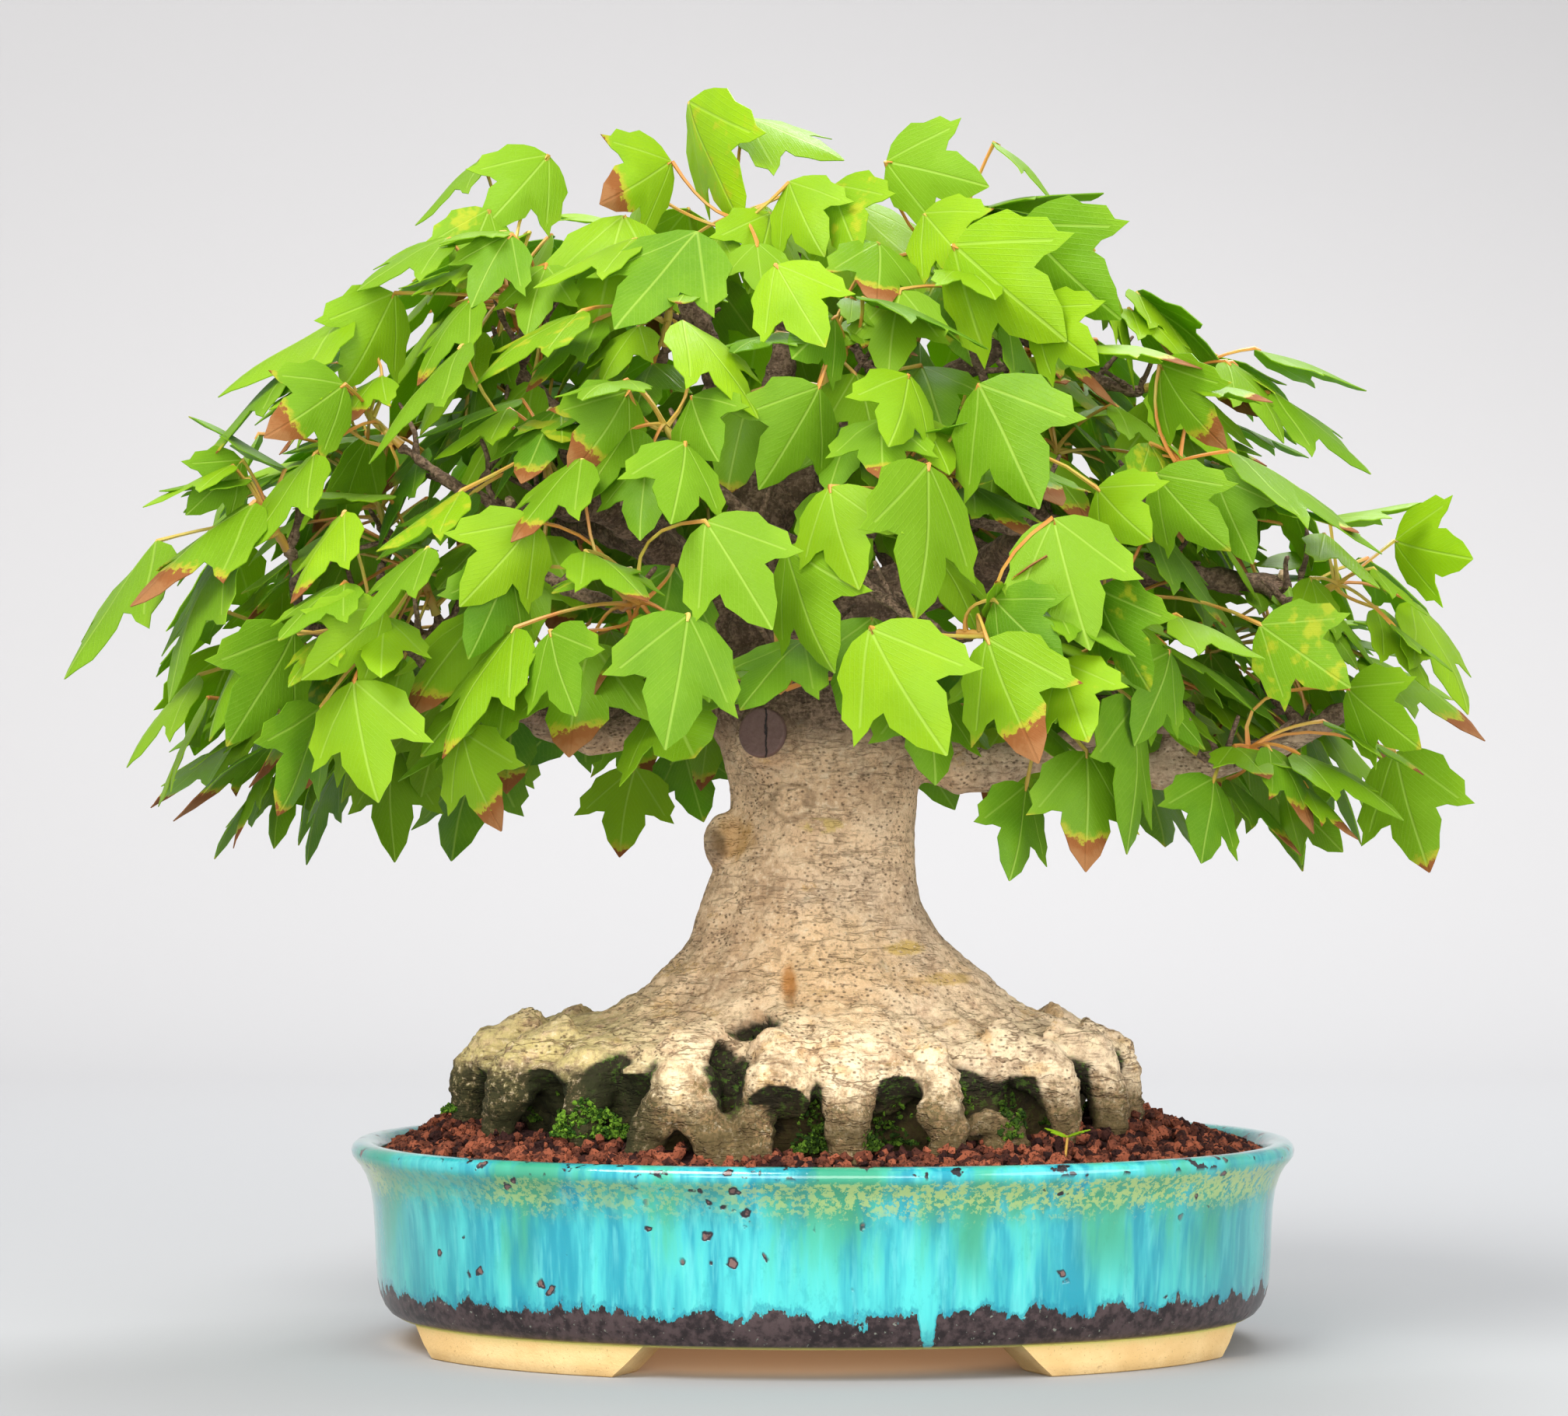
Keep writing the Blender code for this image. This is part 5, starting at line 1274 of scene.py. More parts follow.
paste = bmesh.new()
bmesh.ops.create_cone(paste, cap_ends=True, segments=48, radius1=CUT_RADIUS, radius2=CUT_RADIUS * 0.94,
                      depth=PASTE_THICKNESS, matrix=facing_cut(GAP + PASTE_THICKNESS / 2))
rim = [e for e in paste.edges if len(e.link_faces) == 2 and e.calc_face_angle() > 0.8]
bmesh.ops.bevel(paste, geom=rim, offset=0.0005, segments=3, profile=0.5, affect="EDGES", material=-1)
triangulate_caps(paste)
bmesh.ops.subdivide_edges(paste, edges=paste.edges[:], cuts=2, use_grid_fill=True)
for vert in paste.verts:
    vert.co += CUT_FACING * 0.00022 * noise.fractal(vert.co * 260, 1.0, 2.0, 3)


def paste_finish():
    finish = Finish("cut_paste", Roughness=0.55)
    x = finish.split(finish.object)[0]
    wander = finish.noise(260.0, 3.0, 0.6)
    line = (x - (cut_face.x + MIDDLE.x + 0.0006) + (wander - 0.5) * 0.0026).math("ABSOLUTE")
    crack = 1 - finish.step(line, 0.00012, 0.00042)
    colour = finish.mix(finish.noise(700.0, 4.0), (0.105, 0.052, 0.046), (0.20, 0.115, 0.10))
    colour = finish.mix(crack, colour, (0.012, 0.008, 0.008))
    relief = finish.bump(finish.noise(900.0, 4.0) - crack * 3.0, 0.6, 0.0006)
    return finish.feed(Base_Color=colour, Normal=relief)


finished("wound_paste_disc", paste, [paste_finish()], "wound_paste", "wound_paste")

# %% [markdown]
# The Remesh modifier fills the shapes with small cubes and wraps them in one skin, so joints between a branch
# and the trunk close by themselves. Two rounds of smoothing take away the steps of the cubes.

# %% Melt the wood into one skin
WOOD_VOXEL = 0.00110

holder = in_scene("wood_start", wood)
melt = holder.modifiers.new("melt", "REMESH")
melt.mode = "VOXEL"
melt.voxel_size = WOOD_VOXEL
bpy.context.view_layer.update()
melted = bpy.data.meshes.new_from_object(holder.evaluated_get(bpy.context.evaluated_depsgraph_get()))
bpy.data.objects.remove(holder)
bm = bmesh.new()
bm.from_mesh(melted)
for _ in range(2):
    bmesh.ops.smooth_vert(bm, verts=bm.verts, factor=0.5, use_axis_x=True, use_axis_y=True, use_axis_z=True)
bm.normal_update()
print("melted wood", len(bm.faces), "faces")

# %% [markdown]
# Bark relief is real geometry: each corner moves along its normal by a sum of noises of several sizes. The
# same pass notes where a corner lies in a hollow, under an overhang low down or in a dent, where the bark's
# finish paints shade, and where it lies near the soil or on a branch, which the finish also reads.

# %% Bark relief and hollows
# Hollows pressed into the wood, painted dark as shade by their depth: place and reach in mm, depth in mm
DENTS = [
    ((-16, -52, 95), (14, 13, 4.5), 7.0), ((-29, -60, 86), (6, 12, 8), 5.0),
    ((-10, -46, 103), (2.5, 14, 8), 1.5), ((38, -62, 88), (5, 10, 5), 4.0),
    ((18, -34, 112), (3, 8, 10), 1.0), ((-60, -48, 86), (8, 10, 5), 4.0),
]
ON_STUB = 2.0  # marks the end of a cut stub; a branch has 1, the trunk 0


def between(value, low, high):
    """0 below low, 1 above high, smooth between."""
    share = min(1.0, max(0.0, (value - low) / (high - low)))
    return share * share * (3 - 2 * share)


def bark_relief(place, limb):
    """Height of the bark at a place: knobs round the base and on branches, wrinkles everywhere."""
    low = 1 - between(place.z, 0.095, 0.125)
    broad = noise.fractal(place * 75, 1.0, 2.0, 3) * (0.45 + 1.3 * low)
    squeezed = Vector((place.x, place.y, place.z * 2.4))
    wrinkle = noise.fractal(squeezed * 210, 0.9, 2.0, 3)
    knob = noise.fractal(place * 190, 1.0, 2.0, 2)
    ridge = 1 - abs(noise.noise(Vector((place.x * 1.4, place.y * 1.4, place.z * 3.2)) * 110))
    height = broad * 0.9 + wrinkle * (0.20 + 0.45 * low) + (ridge - 0.7) * 0.8 * low + knob * 0.9 * limb
    return height * MM


def dent(place):
    """How deep a place lies in a hollow: depth, and the darkness of the shade painted into it."""
    depth, dark = 0.0, 0.0
    for middle, reach, full in DENTS:
        gap = math.sqrt(sum(((place[k] / MM - middle[k]) / reach[k]) ** 2 for k in range(3)))
        if gap < 1:
            depth = max(depth, full * (1 - gap * gap) ** 2)
            dark = max(dark, min(1.0, full / 5.0) * (1 - gap * gap))
    return depth * MM, dark


painted_shade_soil_limb = bm.verts.layers.float_vector.new("painted_shade_soil_limb")
ends = KDTree(len(stub_ends))
for number, (end, _) in enumerate(stub_ends):
    ends.insert(end, number)
ends.balance()
for vert in bm.verts:
    place = vert.co.copy()
    limb = between(place.z, 0.172, 0.186)
    sunk, dark = dent(place)
    vert.co += vert.normal * (bark_relief(place, limb) - sunk)
    share = share_at(place)
    shifted = place.z + edge_shift(math.atan2(place.y / SPREAD_Y, (place.x - SPREAD_MIDDLE * MM) / SPREAD_X))
    # painted shade: corners in the hollows under the plateau's edge and on downward faces low down are marked,
    # with the dents' darkness, to be painted dark
    hollow = between(0.975 - share, 0.0, 0.070) * between(0.0875 - shifted, 0.0, 0.007)
    under = between(-vert.normal.z, 0.30, 0.85) * between(0.092 - place.z, 0.0, 0.006)
    near_end = ends.find(place)[2] < 0.0022
    near_soil = between(0.079 - place.z, 0.0, 0.014)
    vert[painted_shade_soil_limb] = Vector((min(1.0, max(hollow, under * 0.9, dark)), near_soil,
                          ON_STUB if near_end and limb else limb))
print("wood", len(bm.faces), "faces")

# %% [markdown]
# The bark is grey-beige with fine dark speckles and wrinkles across, orange-tan where the base was rubbed
# smooth, and yellow-green on the rough edge of the left roots. Between the toes, under the low overhangs and
# in the dents it is painted nearly black as shade, with dark moss. The toes themselves are pale, and the
# branches in the crown are dark and rough with pale pruning ends.

# %% Bark finish
def bark_finish():
    bark = Finish("maple_bark", Roughness=0.82, Specular_IOR_Level=0.25)
    x, y, z = bark.split(bark.object)
    x, y = x - MIDDLE.x, y - MIDDLE.y
    shade, foot, upper = bark.split(bark.attribute("painted_shade_soil_limb", "Vector"))
    stub = upper > 1.5
    upper = upper.math("MINIMUM", 1.0)
    broad = bark.noise(38.0, 3.0, 0.55)
    mid = bark.noise(170.0, 4.0, 0.6)
    fine = bark.noise(900.0, 4.0, 0.65)
    front = 1 - bark.step(y, -0.02, 0.0)

    def spot(at_x, at_z, half_x, half_z, soft=0.5):
        """An oval patch on the front, in mm."""
        across, rise = (x - at_x * MM) / (half_x * MM), (z - at_z * MM) / (half_z * MM)
        gap = (across * across + rise * rise).math("SQRT") + (mid - 0.5) * 0.8
        return (1 - bark.step(gap, 1.0 - soft, 1.0)) * front

    colour = bark.mix(bark.step(broad, 0.3, 0.7), (0.52, 0.335, 0.20), (0.84, 0.585, 0.365))
    colour = bark.mix(bark.step(mid, 0.42, 0.70) * 0.6, colour, (0.95, 0.72, 0.48))
    grey = bark.step(bark.noise(26.0, 2.0) + x * 4.0, 0.45, 0.70)
    colour = bark.mix(grey * 0.50, colour, (0.60, 0.47, 0.35))
    weathered = bark.step(bark.noise(62.0, 4.0, 0.65, stretch=(1.0, 1.0, 1.6)), 0.50, 0.66)
    colour = bark.mix(weathered * 0.45, colour, (0.40, 0.27, 0.165))
    colour = bark.mix(spot(2, 112, 34, 26, 0.8) * 0.60, colour, (0.90, 0.60, 0.32))
    # the pale, knobbly base and toes
    base = 1 - bark.step(z, 0.088, 0.112)
    colour = bark.mix(base * bark.step(mid + fine * 0.3, 0.45, 0.75) * 0.8, colour, (0.95, 0.76, 0.50))
    rust = bark.step(bark.noise(75.0, 3.0, 0.6), 0.57, 0.68) * (1 - bark.step(z, 0.10, 0.13))
    colour = bark.mix(rust * 0.55, colour, (0.58, 0.34, 0.12))
    scars = bark.step(bark.noise(48.0, 2.0, 0.5, stretch=(1.0, 1.0, 2.2)), 0.64, 0.70)
    colour = bark.mix(scars * bark.step(fine, 0.4, 0.6) * 0.6, colour, (0.60, 0.36, 0.12))
    mossy = base * bark.step(0 - x, 0.030, 0.075) * bark.step(mid, 0.30, 0.55)
    colour = bark.mix(mossy * 0.70, colour, (0.47, 0.40, 0.10))
    # earth-stained lower ends of the toes
    stain = 1 - bark.step(z + (mid - 0.5) * 0.034 + (broad - 0.5) * 0.024, 0.069, 0.088)
    colour = bark.mix(stain * 0.84, colour, (0.24, 0.145, 0.052))
    colour = bark.mix(stain * bark.step(fine, 0.44, 0.56) * 0.75, colour, (0.050, 0.052, 0.014))
    # speckles, wrinkles across the bark and short dashes
    specks = 1 - bark.step(bark.cells(520.0, stretch=(1.0, 1.0, 1.4)), 0.10, 0.34)
    specks = specks * bark.step(bark.noise(60.0, 2.0), 0.36, 0.56)
    dashes = bark.step(bark.noise(420.0, 3.0, 0.6, stretch=(0.35, 0.35, 2.4)), 0.55, 0.70)
    fold = bark.noise(85.0, 3.0, 0.6, stretch=(0.8, 0.8, 2.6))
    wrinkles = 1 - bark.step((fold - 0.5).math("ABSOLUTE"), 0.004, 0.028)
    wrinkles = wrinkles * bark.step(bark.noise(55.0, 2.0), 0.45, 0.60)
    blots = 1 - bark.step(bark.cells(120.0), 0.10, 0.22)
    blots = blots * bark.step(bark.noise(30.0, 1.0), 0.50, 0.62)
    grain = bark.noise(480.0, 5.0, 0.75)
    colour = bark.mix(bark.step(grain, 0.50, 0.64) * 0.58, colour, (0.24, 0.150, 0.085))
    colour = bark.mix((1 - bark.step(grain, 0.34, 0.47)) * 0.45, colour, (0.95, 0.80, 0.58))
    colour = bark.mix(specks * 0.75, colour, (0.10, 0.062, 0.036))
    colour = bark.mix(dashes * 0.45, colour, (0.21, 0.145, 0.09))
    colour = bark.mix(wrinkles * (0.22 + base * 0.40), colour, (0.16, 0.09, 0.045))
    colour = bark.mix(blots * 0.55, colour, (0.19, 0.125, 0.075))
    # marks of its own: a rubbed stain, corky bits, an old ring scar, the sunken wound at the left
    colour = bark.mix(spot(-10, 107, 3.2, 7.5, 0.7) * 0.85, colour, (0.50, 0.20, 0.04))
    colour = bark.mix(spot(24, 117, 7, 2.8) * bark.step(fine, 0.35, 0.5), colour, (0.62, 0.42, 0.14))
    colour = bark.mix(spot(36, 108, 9, 2.4) * bark.step(fine, 0.35, 0.5) * 0.8, colour, (0.60, 0.40, 0.14))
    colour = bark.mix(spot(0, 153, 9, 3) * bark.step(mid, 0.45, 0.55), colour, (0.62, 0.44, 0.17))
    ring = spot(-9, 160, 8, 6.5, 0.25) * (1 - spot(-9, 160, 6.5, 5, 0.3))
    colour = bark.mix(ring * 0.6, colour, (0.24, 0.15, 0.08))
    colour = bark.mix(spot(-27, 150, 8, 9, 0.5) * 0.9, colour, (0.46, 0.25, 0.07))
    colour = bark.mix(spot(-32, 147, 5, 8.5, 0.6) * 0.95, colour, (0.035, 0.022, 0.014))
    # under the crown the bark is darker and rougher, with pale pruning ends
    rough = bark.step(fine * 0.6 + mid * 0.5, 0.48, 0.66)
    wood = bark.mix(rough, (0.060, 0.036, 0.024), (0.27, 0.175, 0.12))
    darker = bark.step(z, 0.150, 0.182) * 0.35 * bark.step(mid, 0.4, 0.6)
    colour = bark.mix(darker, colour, (0.16, 0.10, 0.065))
    colour = bark.mix(upper * 0.90, colour, wood)
    colour = bark.mix(stub * 0.85, colour, (0.60, 0.43, 0.27))
    # painted shade: the hollows between the roots, the undersides low down and the dents are painted nearly
    # black, with dark moss; the wood is darker brown near the soil
    hollow = bark.step(shade + (mid - 0.5) * 0.9, 0.14, 0.56)
    moss = bark.step(bark.noise(650.0, 3.0, 0.7), 0.50, 0.60) * bark.step(mid, 0.38, 0.58)
    dark = bark.mix(moss, (0.014, 0.012, 0.006), (0.050, 0.115, 0.010))
    colour = bark.mix(hollow * 0.97, colour, dark)
    colour = bark.mix(foot * 0.85 * bark.step(mid, 0.30, 0.52), colour, (0.085, 0.060, 0.022))
    # painted shade: the wall under the overhanging left ledge is painted nearly black
    far_left = bark.step(0 - x, 0.040, 0.056) * (1 - bark.step(z + (mid - 0.5) * 0.014, 0.079, 0.087))
    colour = bark.mix(far_left * bark.step(grain, 0.30, 0.52) * 0.93, colour, (0.026, 0.028, 0.009))
    relief = bark.bump(fine * 0.5 + mid * 1.0 - wrinkles * 0.9 - specks * 0.5 - dashes * 0.4, 0.75, 0.0010)
    return bark.feed(Base_Color=colour, Normal=relief, Roughness=0.90 - spot(2, 112, 34, 26, 0.8) * 0.2)


bark = bark_finish()
finished("wood", bm, [bark], "bark", "trunk", sharp=180)

# %% [markdown]
# Fine bare twigs fill the inside of the crown. They branch off the twigs that carry the shoots, too thin for
# the remesh, so they stay plain tapered tubes.

# %% Fine twigs
FINE_TWIGS = 4  # on each twig that carries a shoot

bm = bmesh.new()
painted_shade_soil_limb = bm.verts.layers.float_vector.new("painted_shade_soil_limb")
for number, shoot in enumerate(shoots):
    chance = random.Random(f"fine twig {number}")
    path = smooth_path(shoot["twig"], 4)
    for _ in range(FINE_TWIGS):
        start = path[chance.randrange(1, len(path) - 1)][0]
        out = Vector((chance.uniform(-1, 1), chance.uniform(-1, 1), chance.uniform(-0.2, 1))).normalized()
        bend = Vector((chance.uniform(-1, 1), chance.uniform(-1, 1), chance.uniform(0, 1))) * 0.35
        reach = chance.uniform(0.010, 0.024)
        rows = [(start, 0.0011), (start + out * reach * 0.35, 0.0009),
                (start + (out + bend).normalized() * reach * 0.7, 0.0008),
                (start + (out + bend) * reach, 0.0005)]
        add_limb(bm, smooth_path(rows, 3), 6, 0.9)
for vert in bm.verts:
    vert[painted_shade_soil_limb] = Vector((0.0, 0.0, 1.0))
finished("fine_twigs", bm, [bark], "bark", sharp=180)

# %% [markdown]
# ## The pot
# The pot was thrown or pressed in one piece and glazed all over but its feet. One oval ring is extruded up
# the outside, over the rolled lip and down the inside. The feet follow the oval and slant in at their ends.

# %% Pot body
POT_FLATS = 224
OUTSIDE = [  # inset from the lip's oval, height, mm
    (30.0, 8.5), (16.0, 8.5), (13.4, 8.9), (11.6, 10.0), (10.0, 12.0), (8.7, 15.0), (7.8, 19.0), (7.3, 26.0),
    (6.9, 34.0), (6.4, 41.0), (5.6, 46.0), (4.2, 50.2), (2.6, 53.0), (1.2, 54.6), (0.3, 55.9), (0.0, 57.4),
    (0.5, 58.8), (1.6, 59.7), (3.2, 60.0), (5.2, 59.9), (6.9, 59.3), (8.0, 58.0), (8.6, 56.0), (9.6, 50.0),
    (10.6, 40.0), (11.6, 26.0), (12.6, 20.5), (16.5, 16.2), (24.0, 15.5),
]


def glaze_ring(inset, height):
    """A slightly uneven hand-made oval."""
    ring = []
    for k in range(POT_FLATS):
        angle = math.tau * k / POT_FLATS
        point = oval_point(angle, inset * MM, height * MM)
        wave = noise.noise(Vector((math.cos(angle) * 2.2, math.sin(angle) * 2.2, height * 0.03)))
        point += Vector((point.x, point.y, 0)).normalized() * wave * 0.35 * MM
        ring.append(point)
    return ring


bm = bmesh.new()
skin_rings(bm, [glaze_ring(*row) for row in OUTSIDE])
triangulate_caps(bm)
bmesh.ops.recalc_face_normals(bm, faces=bm.faces)
pot_mesh = plain_mesh("pot_start", bm)
print("pot rings", len(OUTSIDE))

# %% [markdown]
# Each foot is a bar that follows the oval, with ends that slant in. Boolean operations join the feet to the
# pot and bore the drain holes, so the pot stays one closed mesh.

# %% Feet and drain holes
FOOT_STEPS = 18
# Corners across a foot: depth inwards and height in mm, share of the slant at its ends
FOOT_CORNERS = ((0.0, 9.6, 0.0), (0.6, 4.0, 0.55), (1.2, 0.5, 0.95), (2.0, 0.0, 1.0), (15.0, 0.0, 1.0),
                (15.9, 0.6, 0.95), (16.6, 9.6, 0.0))
FOOT_PROUD = 0.0004  # how far the feet stand out past the pot's base


def foot_rings(first, last):
    rings = []
    for k in range(FOOT_STEPS + 1):
        ring = []
        for depth, height, slant in FOOT_CORNERS:
            start, end = first + FOOT_SLANT * slant, last - FOOT_SLANT * slant
            angle = math.radians(start + (end - start) * (k / FOOT_STEPS))
            ring.append(oval_point(angle, BASE_INSET - FOOT_PROUD + depth * MM, height * MM))
        rings.append(ring)
    return rings


bm = bmesh.new()
for first, last in FOOT_SPANS:
    skin_rings(bm, foot_rings(first, last))
bmesh.ops.recalc_face_normals(bm, faces=bm.faces)
foot_mesh = plain_mesh("feet", bm)

bm = bmesh.new()
for side in (-1, 1):
    place = Matrix.Translation((side * DRAIN_SPACING / 2, 0, FOOT_HEIGHT + FLOOR / 2))
    bmesh.ops.create_cone(bm, cap_ends=True, segments=40, radius1=DRAIN_RADIUS, radius2=DRAIN_RADIUS,
                          depth=3 * FLOOR, matrix=place)
hole_mesh = plain_mesh("holes", bm)


def combined(first, second, operation):
    """The union or difference of two closed meshes, as a mesh."""
    holders = [in_scene("joining", mesh) for mesh in (first, second)]
    joint = holders[0].modifiers.new("join", "BOOLEAN")
    joint.operation, joint.solver, joint.object = operation, "MANIFOLD", holders[1]
    bpy.context.view_layer.update()
    depsgraph = bpy.context.evaluated_depsgraph_get()
    made = bpy.data.meshes.new_from_object(holders[0].evaluated_get(depsgraph))
    for holder in holders:
        bpy.data.objects.remove(holder)
    return made


pot_mesh = combined(pot_mesh, foot_mesh, "UNION")
pot_mesh = combined(pot_mesh, hole_mesh, "DIFFERENCE")
bm = bmesh.new()
bm.from_mesh(pot_mesh)
print("pot", len(bm.faces), "faces")

# %% [markdown]
# The glaze is turquoise over a dark body. It ran down while it was molten, which leaves darker teal streaks,
# gathers yellow-green specks under the lip, breaks into small dark blisters, and stops in a ragged line
# above a bare band of dark purple-brown slip with a dull metallic shine. The feet and underside are bare
# buff clay with speckles.

# %% Glaze and clay finish
def glaze_finish():
    glaze = Finish("turquoise_glaze", Specular_IOR_Level=0.45, Coat_Roughness=0.04)
    place = glaze.add("ShaderNodeMapping", Vector=glaze.object, Location=(-MIDDLE.x, -MIDDLE.y, 0.0))
    x, y, z = glaze.split(place)
    fine = glaze.noise(380.0, 4.0, 0.6, vector=place)
    mid = glaze.noise(85.0, 3.0, 0.55, vector=place)
    streak = glaze.noise(105.0, 4.0, 0.62, vector=place, stretch=(1.0, 1.0, 0.10))
    broad = glaze.noise(30.0, 3.0, 0.55, vector=place, stretch=(1.0, 1.0, 0.22))
    threads = glaze.noise(330.0, 3.0, 0.6, vector=place, stretch=(1.0, 1.0, 0.10))
    up = (z - 0.012) / 0.043
    colour = glaze.mix(glaze.step(streak, 0.36, 0.62), (0.014, 0.27, 0.36), (0.075, 0.56, 0.56))
    colour = glaze.mix(glaze.step(threads, 0.50, 0.68) * 0.38, colour, (0.15, 0.64, 0.62))
    crackle = glaze.noise(240.0, 4.0, 0.7, vector=place, stretch=(1.0, 1.0, 0.45))
    colour = glaze.mix(glaze.step(crackle, 0.54, 0.66) * 0.35, colour, (0.020, 0.30, 0.34))
    run = glaze.step(broad, 0.52, 0.66) * glaze.step(up, 0.25, 0.75)
    colour = glaze.mix(run * 0.80, colour, (0.012, 0.18, 0.17))
    green = glaze.step(broad * 0.6 + streak * 0.5, 0.54, 0.64) * glaze.step(up, 0.1, 0.7)
    colour = glaze.mix(green * 0.65, colour, (0.05, 0.34, 0.16))
    ends = glaze.step(x.math("ABSOLUTE"), 0.080, 0.135)
    colour = glaze.mix(ends * 0.50, colour, (0.025, 0.27, 0.25))
    # yellow-green specks under the lip
    band = glaze.step(z, 0.0415, 0.0510) * (1 - glaze.step(z, 0.0545, 0.0572))
    specks = glaze.noise(520.0, 3.0, 0.7, vector=place) + band * 0.12 + ends * 0.05
    patchy = glaze.step(glaze.noise(26.0, 2.0, 0.5, vector=place, stretch=(1.0, 1.0, 0.3)), 0.36, 0.56)
    specks = glaze.step(specks, 0.575, 0.66) * band * (patchy * 0.75 + 0.25)
    mottle = band * glaze.step(mid, 0.36, 0.55) * (patchy * 0.6 + 0.4)
    colour = glaze.mix(mottle * 0.8, colour, (0.060, 0.28, 0.14))
    colour = glaze.mix(specks * 0.85, colour, (0.38, 0.52, 0.18))
    # blisters: brown pits with a dark rim, thicker in one place left of the middle
    near = ((x + 0.027) * (x + 0.027) * 9.0 + (z - 0.043) * (z - 0.043) * 1.4).math("SQRT")
    near = (1 - glaze.step(near, 0.0, 0.030)) * (y < 0)
    shaken = glaze.mix(0.004, place, glaze.noise(300.0, 2.0, vector=place, out="Color"))
    blister = glaze.cells(170.0, vector=shaken)
    rare = glaze.noise(45.0, 2.0, 0.5, vector=place) + near * 0.40 + glaze.step(z, 0.048, 0.058) * 0.05
    keep = glaze.step(rare, 0.565, 0.60)
    size = 0.24 + near * 0.12
    dark = (1 - glaze.step(blister / size, 0.75, 1.0)) * keep
    brown = (1 - glaze.step(blister / size, 0.45, 0.62)) * keep
    lip_worn = glaze.step(glaze.noise(150.0, 3.0, 0.6, vector=place), 0.60, 0.63)
    lip_worn = lip_worn * glaze.step(z, 0.0560, 0.0575)
    colour = glaze.mix(dark.math("MAXIMUM", lip_worn), colour, (0.018, 0.014, 0.020))
    colour = glaze.mix(brown, colour, (0.16, 0.085, 0.075))
    # the ragged lower edge, with one long drip
    ragged = (glaze.noise(105.0, 5.0, 0.70, vector=place, stretch=(1.0, 1.0, 0.45)) - 0.5) * 0.022
    from_drip = (x - 0.028).math("ABSOLUTE") + (fine - 0.5) * 0.001
    drip = (1 - glaze.step(from_drip, 0.0006, 0.0034)) * (y < 0) * 0.011
    edge = z + ragged + drip + (fine - 0.5) * 0.0022
    bare = 1 - glaze.step(edge, 0.0180, 0.0186)
    bead = glaze.step(edge, 0.0177, 0.0192) * (1 - glaze.step(edge, 0.0192, 0.0210))
    slip = glaze.mix(glaze.step(fine + mid * 0.4, 0.55, 0.85), (0.022, 0.014, 0.016), (0.085, 0.056, 0.058))
    flecks = glaze.step(glaze.noise(700.0, 2.0, 0.6, vector=place), 0.66, 0.74)
    slip = glaze.mix(flecks * 0.7, slip, (0.30, 0.33, 0.27))
    colour = glaze.mix(bead * 0.55, colour, (0.004, 0.17, 0.26))
    colour = glaze.mix(bare, colour, slip)
    # buff clay on the feet and the underside
    under = 1 - glaze.step(z + (fine - 0.5) * 0.0008, 0.00905, 0.00950)
    clay = glaze.mix(glaze.step(mid, 0.3, 0.7), (0.70, 0.47, 0.20), (0.80, 0.58, 0.28))
    grains = glaze.step(glaze.noise(1500.0, 2.0, 0.6, vector=place), 0.64, 0.72)
    clay = glaze.mix(grains * 0.6, clay, (0.30, 0.17, 0.06))
    stain = glaze.step(z + (mid - 0.5) * 0.006, 0.0060, 0.0100)
    clay = glaze.mix(stain * 0.5, clay, (0.42, 0.38, 0.10))
    rim_line = glaze.step(z, 0.0086, 0.0090) * (1 - glaze.step(z, 0.0094, 0.0100))
    colour = glaze.mix(under, colour, clay)
    colour = glaze.mix(rim_line * 0.6, colour, (0.40, 0.40, 0.08))
    matt = under.math("MAXIMUM", bare * 0.5)
    rough = 0.10 + under * 0.72 + bare * 0.30 + brown * 0.4 + specks * 0.08
    relief = glaze.bump(fine * 0.18 + streak * 0.5 - bare * 1.2 - dark * 0.9 + threads * 0.2, 0.45, 0.0008)
    grit = glaze.bump(glaze.noise(1300.0, 3.0, 0.7, vector=place) * under, 0.5, 0.0004, below=relief)
    return glaze.feed(Base_Color=colour, Roughness=rough, Normal=grit, Metallic=bare * (1 - under) * 0.35,
                      Coat_Weight=(1 - matt) * 0.4)


finished("glazed_pot", bm, [glaze_finish()], "pot_glaze", "pot", sharp=50)

# %% [markdown]
# Plastic mesh keeps the soil in over each drain hole. A grid turned into wires by the wireframe operator has
# the right look from below.

# %% Drain screens
def screen_finish():
    plastic = Finish("screen_plastic", Roughness=0.4)
    tone = plastic.mix(plastic.noise(500.0, 3.0), (0.012, 0.013, 0.012), (0.035, 0.035, 0.033))
    return plastic.feed(Base_Color=tone, Normal=plastic.bump(plastic.noise(1500.0), 0.2, 0.0002))


plastic = screen_finish()
for side, label in ((-1, "left"), (1, "right")):
    bm = bmesh.new()
    height = FOOT_HEIGHT + FLOOR + GAP + SCREEN_THICKNESS / 2
    place = Matrix.Translation((side * DRAIN_SPACING / 2, 0, height))
    bmesh.ops.create_grid(bm, x_segments=12, y_segments=12, size=SCREEN_SIZE / 2 - 0.0004, matrix=place)
    bmesh.ops.wireframe(bm, faces=bm.faces[:], thickness=0.0008, use_boundary=True, use_even_offset=True,
                        use_replace=True)
    finished(f"mesh_screen_{label}", bm, [plastic], "screen_plastic", f"drain_screen_{label}", smooth=False)


# %% [markdown]
# ## Soil, grit and moss
# The soil is crushed lava. The bed gives it its mounded shape, and loose angular grains, each an icosahedron
# with its corners pushed about, cover it. Moss fills the hollows at the foot of the roots as many tiny tufts.

